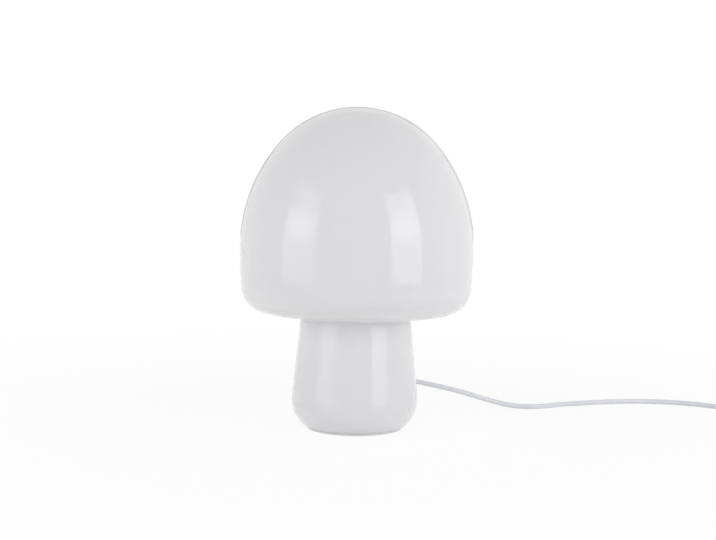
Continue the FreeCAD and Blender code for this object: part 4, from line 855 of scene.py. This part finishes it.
def make_bar_crown():
    """Upright rounded bars round a cylinder, as grip ribs."""
    tree, entry, leave = new_form("bar_crown", [
        ("Count", "NodeSocketInt", 36), ("Radius", "NodeSocketFloat", 0.014),
        ("Level", "NodeSocketFloat", 0.07), ("Length", "NodeSocketFloat", 0.01),
        ("Thickness", "NodeSocketFloat", 0.0005),
    ])
    ports = entry.outputs
    places = node(tree, "GeometryNodeMeshCircle", {"Vertices": ports["Count"], "Radius": ports["Radius"]})
    bar = rounded_bar(tree, ports["Length"], ports["Thickness"])
    upright = node(tree, "GeometryNodeTransform", {"Geometry": bar, "Rotation": (0.0, math.pi / 2, 0.0)})
    bars = node(tree, "GeometryNodeInstanceOnPoints", {
        "Points": places.outputs[0], "Instance": upright.outputs[0]})
    close_form(tree, entry, leave, lifted(tree, bars.outputs[0], ports["Level"]))
    return tree


def make_flat_strip():
    """A flat strip along the guide line, which may twist as it goes."""
    tree, entry, leave = new_form("flat_strip", [
        ("Width", "NodeSocketFloat", 0.0036), ("Thickness", "NodeSocketFloat", 0.0005),
        ("Twists", "NodeSocketFloat", 0.0),
    ])
    ports = entry.outputs
    line = node(tree, "GeometryNodeMeshToCurve", {"Mesh": ports["Geometry"]})
    along = node(tree, "GeometryNodeSplineParameter").outputs["Factor"]
    twist = maths(tree, "MULTIPLY", maths(tree, "MULTIPLY", along, ports["Twists"]), 2 * math.pi)
    tilted = node(tree, "GeometryNodeSetCurveTilt", {"Curve": line.outputs[0], "Tilt": twist})
    section = node(tree, "GeometryNodeCurvePrimitiveQuadrilateral", {
        "Width": ports["Width"], "Height": ports["Thickness"]})
    strip = node(tree, "GeometryNodeCurveToMesh", {
        "Curve": tilted.outputs[0], "Profile Curve": section.outputs[0], "Fill Caps": True})
    close_form(tree, entry, leave, strip.outputs[0])
    return tree


def grow(name, tree, material, values, guide=(), closed=False):
    """A plain mesh of a geometry tree's form with these inputs, along a guide of points if it needs one."""
    mesh = bpy.data.meshes.new(name + "_guide")
    count = len(guide)
    edges = [(n, (n + 1) % count) for n in range(count if closed else count - 1)]
    mesh.from_pydata([tuple(p) for p in guide], edges, [])
    holder = add_object(name + "_guide", mesh)
    maker = holder.modifiers.new("form", "NODES")
    maker.node_group = tree
    names = {item.name: item.identifier for item in tree.interface.items_tree
             if item.item_type == "SOCKET" and item.in_out == "INPUT"}
    for label, value in values.items():
        maker[names[label]] = value
    maker[names["Material"]] = material
    return as_mesh(holder, name)


THREADED_RIDGE = make_threaded_ridge()
RINGED_SLEEVE = make_ringed_sleeve()
BAR_ROW = make_bar_row()
BAR_CROWN = make_bar_crown()
FLAT_STRIP = make_flat_strip()


def first_stretch(points, length):
    """The points of a line up to a length from its start."""
    kept, gone = [Vector(points[0])], 0.0
    for point in map(Vector, points[1:]):
        step = (point - kept[-1]).length
        if gone + step >= length:
            kept.append(kept[-1].lerp(point, (length - gone) / step))
            return kept
        kept.append(point)
        gone += step
    return kept


def add_form(name, tree, material, body, values, guide=(), closed=False):
    piece = grow(name, tree, material, values, guide, closed)
    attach(piece, body)
    return piece


RELIEF_LENGTH = 0.024
add_form("grommet_sleeve", RINGED_SLEEVE, RUBBER, "glass",
         {"Start radius": 0.0037, "End radius": 0.0028, "Rings": 6.0, "Ring height": 0.00035,
          "Plain end": 0.14},
         first_stretch(line_points(LEAD_ROUTE), RELIEF_LENGTH))

PLUG_MIDDLE = Vector((0.3774, 0.0, 0.0068))
PLUG_NECK_START = -0.1722
PLUG_NECK_LENGTH = 0.0195
add_form("plug_neck_rings", RINGED_SLEEVE, PLUG_SKIN, "base",
         {"Start radius": 0.00305, "End radius": 0.00505, "Rings": 6.0, "Ring height": 0.0004,
          "Plain end": 0.10},
         [PLUG_MIDDLE + Vector((0.0, PLUG_NECK_START - PLUG_NECK_LENGTH * n / 8, 0.0)) for n in range(9)])
add_form("plug_grip_bars", BAR_ROW, PLUG_SKIN, "base",
         {"Count": 6, "First": (PLUG_MIDDLE.x, -0.2035, 0.0135), "Step": (0.0, -0.0024, 0.0),
          "Length": 0.016, "Thickness": 0.0006})

add_form("bulb_cap_thread", THREADED_RIDGE, CAP_NICKEL, "bulb",
         {"Radius": 0.0064, "Pitch": 0.00282, "Turns": 4.3, "Ridge": 0.00062, "Start": 0.0938, "Steps": 48})
add_form("riser_thread", THREADED_RIDGE, ZINC, "base",
         {"Radius": 0.00486, "Pitch": 0.001, "Turns": 28.0, "Ridge": 0.00030, "Start": 0.0294, "Steps": 40})
add_form("holder_grip_ribs", BAR_CROWN, HOLDER_SKIN, "base",
         {"Count": 40, "Radius": 0.01405, "Level": 0.0768, "Length": 0.0096, "Thickness": 0.00045})


# ---------------------------------------------------------------- tie round the coil

TIE_X = 0.349
TIE_WIDTH = 0.0036
TIE_THICK = 0.0005
TIE_CORNER = 0.004
TIE_CORNER_STEPS = 6
TIE_CLEARANCE = 0.00005
TIE_ENDS_WIDTH = 0.8 * TIE_WIDTH
TIE_ENDS_THICK = 2.2 * TIE_THICK
TIE_TWISTS = 1.5
# the twisted ends, from the top of the loop: offsets along X, Y and Z
TIE_ENDS = [(0.0, 0.0, 0.0), (0.0015, 0.0, 0.0016), (0.004, 0.0003, 0.0026), (0.009, 0.0010, 0.0024),
            (0.016, 0.0026, 0.0016)]
TIE_PAPER = moulded("white_paper_tie", rgb(0.80, 0.80, 0.79), rgb(0.74, 0.74, 0.73), roughness=0.7,
                    grain=500.0, depth=0.00005)


def coil_section():
    """Lowest and highest corner (y, z) of the turns where the tie goes round them."""
    points = [Vector(p) for p in line_points(coil_points(), fineness=6)]
    cut = [a.lerp(b, (TIE_X - a.x) / (b.x - a.x)) for a, b in zip(points, points[1:])
           if (a.x - TIE_X) * (b.x - TIE_X) < 0 and a.y < COIL_START.y]
    around = CORD_THICK / 2 + TIE_THICK / 2
    return (min(p.y for p in cut) - around, TIE_THICK / 2 + TIE_CLEARANCE,
            max(p.y for p in cut) + around, max(p.z for p in cut) + around)


def tie_loop(near, low, far, high):
    """A rounded rectangle that lies snugly round the turns."""
    loop = []
    right, left = far - TIE_CORNER, near + TIE_CORNER
    top, bottom = high - TIE_CORNER, low + TIE_CORNER
    for quarter, (y, z) in enumerate(((right, top), (left, top), (left, bottom), (right, bottom))):
        for step in range(TIE_CORNER_STEPS + 1):
            angle = math.pi / 2 * (quarter + step / TIE_CORNER_STEPS)
            loop.append(Vector((TIE_X, y + TIE_CORNER * math.cos(angle), z + TIE_CORNER * math.sin(angle))))
    return loop


def tie_the_coil():
    """A flat paper tie round the turns, and its two ends twisted together on top."""
    near, low, far, high = coil_section()
    add_form("coil_tie", FLAT_STRIP, TIE_PAPER, "base",
             {"Width": TIE_WIDTH, "Thickness": TIE_THICK}, tie_loop(near, low, far, high), closed=True)
    top = Vector((TIE_X, (near + far) / 2, high))
    ends = [tuple(top + Vector(offset)) for offset in TIE_ENDS]
    add_form("tie_ends", FLAT_STRIP, TIE_PAPER, "base",
             {"Width": TIE_ENDS_WIDTH, "Thickness": TIE_ENDS_THICK, "Twists": TIE_TWISTS},
             line_points(ends, fineness=16))


tie_the_coil()


# ---------------------------------------------------------------- floor and light

FLOOR_NEAR, FLOOR_FAR = 0.25, 0.75
FLOOR_SHADOW_SHARE = 0.11
FLOOR_REACH = 14.0
FLOOR_WHITE = rgb(0.92, 0.92, 0.92)
AMBIENT_LEVEL = 1.10
AMBIENT_ABOVE = 0.47
AMBIENT_LEAN = 0.15
HOT_LEVEL = 0.47
HOT_CORE, HOT_REACH = 0.06, 0.27
HOT_SQUEEZE = 0.35
BOX_FOOT = 0.015
BOX_HEIGHT = 0.74
BOX_LEAN = 0.03
BOX_DISTANCE = 0.80
PAPER_GREY = 0.60
PAPER_DISTANCE = 6.0
PAPER_SPREAD = math.radians(26)


def seen_or_mirrored(tree):
    """One where the camera, a gloss or a clear piece looks, and nought where light is gathered."""
    ray = node(tree, "ShaderNodeLightPath").outputs
    seen = maths(tree, "MAXIMUM", ray["Is Camera Ray"], ray["Is Glossy Ray"])
    return maths(tree, "MAXIMUM", seen, ray["Is Transmission Ray"])


def glowing(name):
    """A material that only gives off white light, with its tree and its Emission node."""
    material = bpy.data.materials.new(name)
    material.use_nodes = True
    tree = material.node_tree
    tree.nodes.clear()
    glow = node(tree, "ShaderNodeEmission")
    node(tree, "ShaderNodeOutputMaterial", {"Surface": glow.outputs["Emission"]})
    return material, tree, glow


def add_stage(name, mesh, material):
    """A piece of the studio, which isn't part of the lamp."""
    mesh.materials.append(material)
    item = add_object(name, mesh)
    return item


def make_floor():
    """A studio floor that stays white in the picture and keeps the lamp's shadow near it."""
    material, tree, shader = new_material("studio_floor")
    shader.inputs["Base Color"].default_value = FLOOR_WHITE
    shader.inputs["Roughness"].default_value = 0.9
    shader.inputs["Specular IOR Level"].default_value = 0.1
    glow = node(tree, "ShaderNodeEmission")
    away = vector_maths(tree, "LENGTH", object_place(tree)).outputs["Value"]
    white = spread_between(tree, away, FLOOR_NEAR, FLOOR_FAR, 1.0 - FLOOR_SHADOW_SHARE, 1.0)
    share = maths(tree, "MULTIPLY", seen_or_mirrored(tree), white)
    parts = {0: share, 1: shader.outputs["BSDF"], 2: glow.outputs["Emission"]}
    mix = node(tree, "ShaderNodeMixShader", parts)
    leave = next(n for n in tree.nodes if n.type == "OUTPUT_MATERIAL")
    join(tree, mix.outputs["Shader"], leave.inputs["Surface"])
    mesh = bpy.data.meshes.new("floor")
    reach = FLOOR_REACH
    mesh.from_pydata([(-reach, -reach, 0.0), (reach, -reach, 0.0), (reach, reach, 0.0), (-reach, reach, 0.0)],
                     [], [(0, 1, 2, 3)])
    add_stage("floor", mesh, material)


def make_surroundings():
    """A white room: full white where it is seen or mirrored, and lit more from its walls and its right."""
    world = bpy.data.worlds.new("white_room")
    world.use_nodes = True
    tree = world.node_tree
    back = next(n for n in tree.nodes if n.type == "BACKGROUND")
    back.inputs["Color"].default_value = rgb(1.0, 1.0, 1.0)
    towards = node(tree, "ShaderNodeTexCoord").outputs["Generated"]
    sides = node(tree, "ShaderNodeSeparateXYZ", {0: towards}).outputs
    height = spread_between(tree, sides["Z"], 0.0, 1.0, AMBIENT_LEVEL, AMBIENT_ABOVE)
    ambient = maths(tree, "ADD", maths(tree, "MULTIPLY", sides["X"], AMBIENT_LEAN), height)
    join(tree, spread_between(tree, seen_or_mirrored(tree), 0.0, 1.0, ambient, 1.0), back.inputs["Strength"])
    scene.world = world


def soft_box(name, side, bearing_deg, width, hot, rim):
    """A tall soft box that faces the lamp and leans to the middle, brighter in one place than at its rim."""
    material, tree, glow = glowing(name)
    place = node(tree, "ShaderNodeUVMap").outputs["UV"]
    offset = vector_maths(tree, "SUBTRACT", place, (0.5, HOT_LEVEL, 0.0)).outputs[0]
    squeezed = vector_maths(tree, "MULTIPLY", offset, (HOT_SQUEEZE, 1.0, 0.0)).outputs[0]
    away = vector_maths(tree, "LENGTH", squeezed).outputs["Value"]
    fade = spread_between(tree, away, HOT_CORE, HOT_REACH, hot, rim)
    front = maths(tree, "SUBTRACT", 1.0, node(tree, "ShaderNodeNewGeometry").outputs["Backfacing"])
    join(tree, maths(tree, "MULTIPLY", fade, front), glow.inputs["Strength"])
    angle = math.radians(bearing_deg) * side
    foot = Vector((math.sin(angle) * BOX_DISTANCE, -math.cos(angle) * BOX_DISTANCE, BOX_FOOT))
    across = Vector((math.cos(angle), math.sin(angle), 0.0)) * width / 2
    up = Vector((0.0, 0.0, BOX_HEIGHT)) - across.normalized() * side * BOX_LEAN
    corners = [foot - across, foot + across, foot + across + up, foot - across + up]
    mesh = bpy.data.meshes.new(name)
    mesh.from_pydata([tuple(c) for c in corners], [], [(3, 2, 1, 0)])
    grid = mesh.uv_layers.new(name="UVMap")
    for loop, at in zip(grid.data, ((0.0, 1.0), (1.0, 1.0), (1.0, 0.0), (0.0, 0.0))):
        loop.uv = at
    add_stage(name, mesh, material).visible_camera = False


def grey_paper():
    """A half round of grey paper far behind the lamp, only for the gloss: the glass's edges mirror it."""
    material, _, glow = glowing("grey_paper")
    glow.inputs["Strength"].default_value = PAPER_GREY
    sheet = bmesh.new()
    bmesh.ops.create_uvsphere(sheet, u_segments=48, v_segments=24, radius=PAPER_DISTANCE)
    gone = [f for f in sheet.faces if f.calc_center_median().normalized().y < math.cos(PAPER_SPREAD)]
    bmesh.ops.delete(sheet, geom=gone, context="FACES")
    mesh = bpy.data.meshes.new("grey_paper")
    sheet.to_mesh(mesh)
    sheet.free()
    paper = add_stage("grey_paper", mesh, material)
    paper.visible_camera = False
    paper.visible_diffuse = False
    paper.visible_shadow = False
    paper.visible_transmission = False


make_floor()
make_surroundings()
grey_paper()
soft_box("soft_box_right", 1, 46.5, 0.43, 3.3, 2.1)
soft_box("soft_box_left", -1, 55.0, 0.47, 3.0, 1.8)
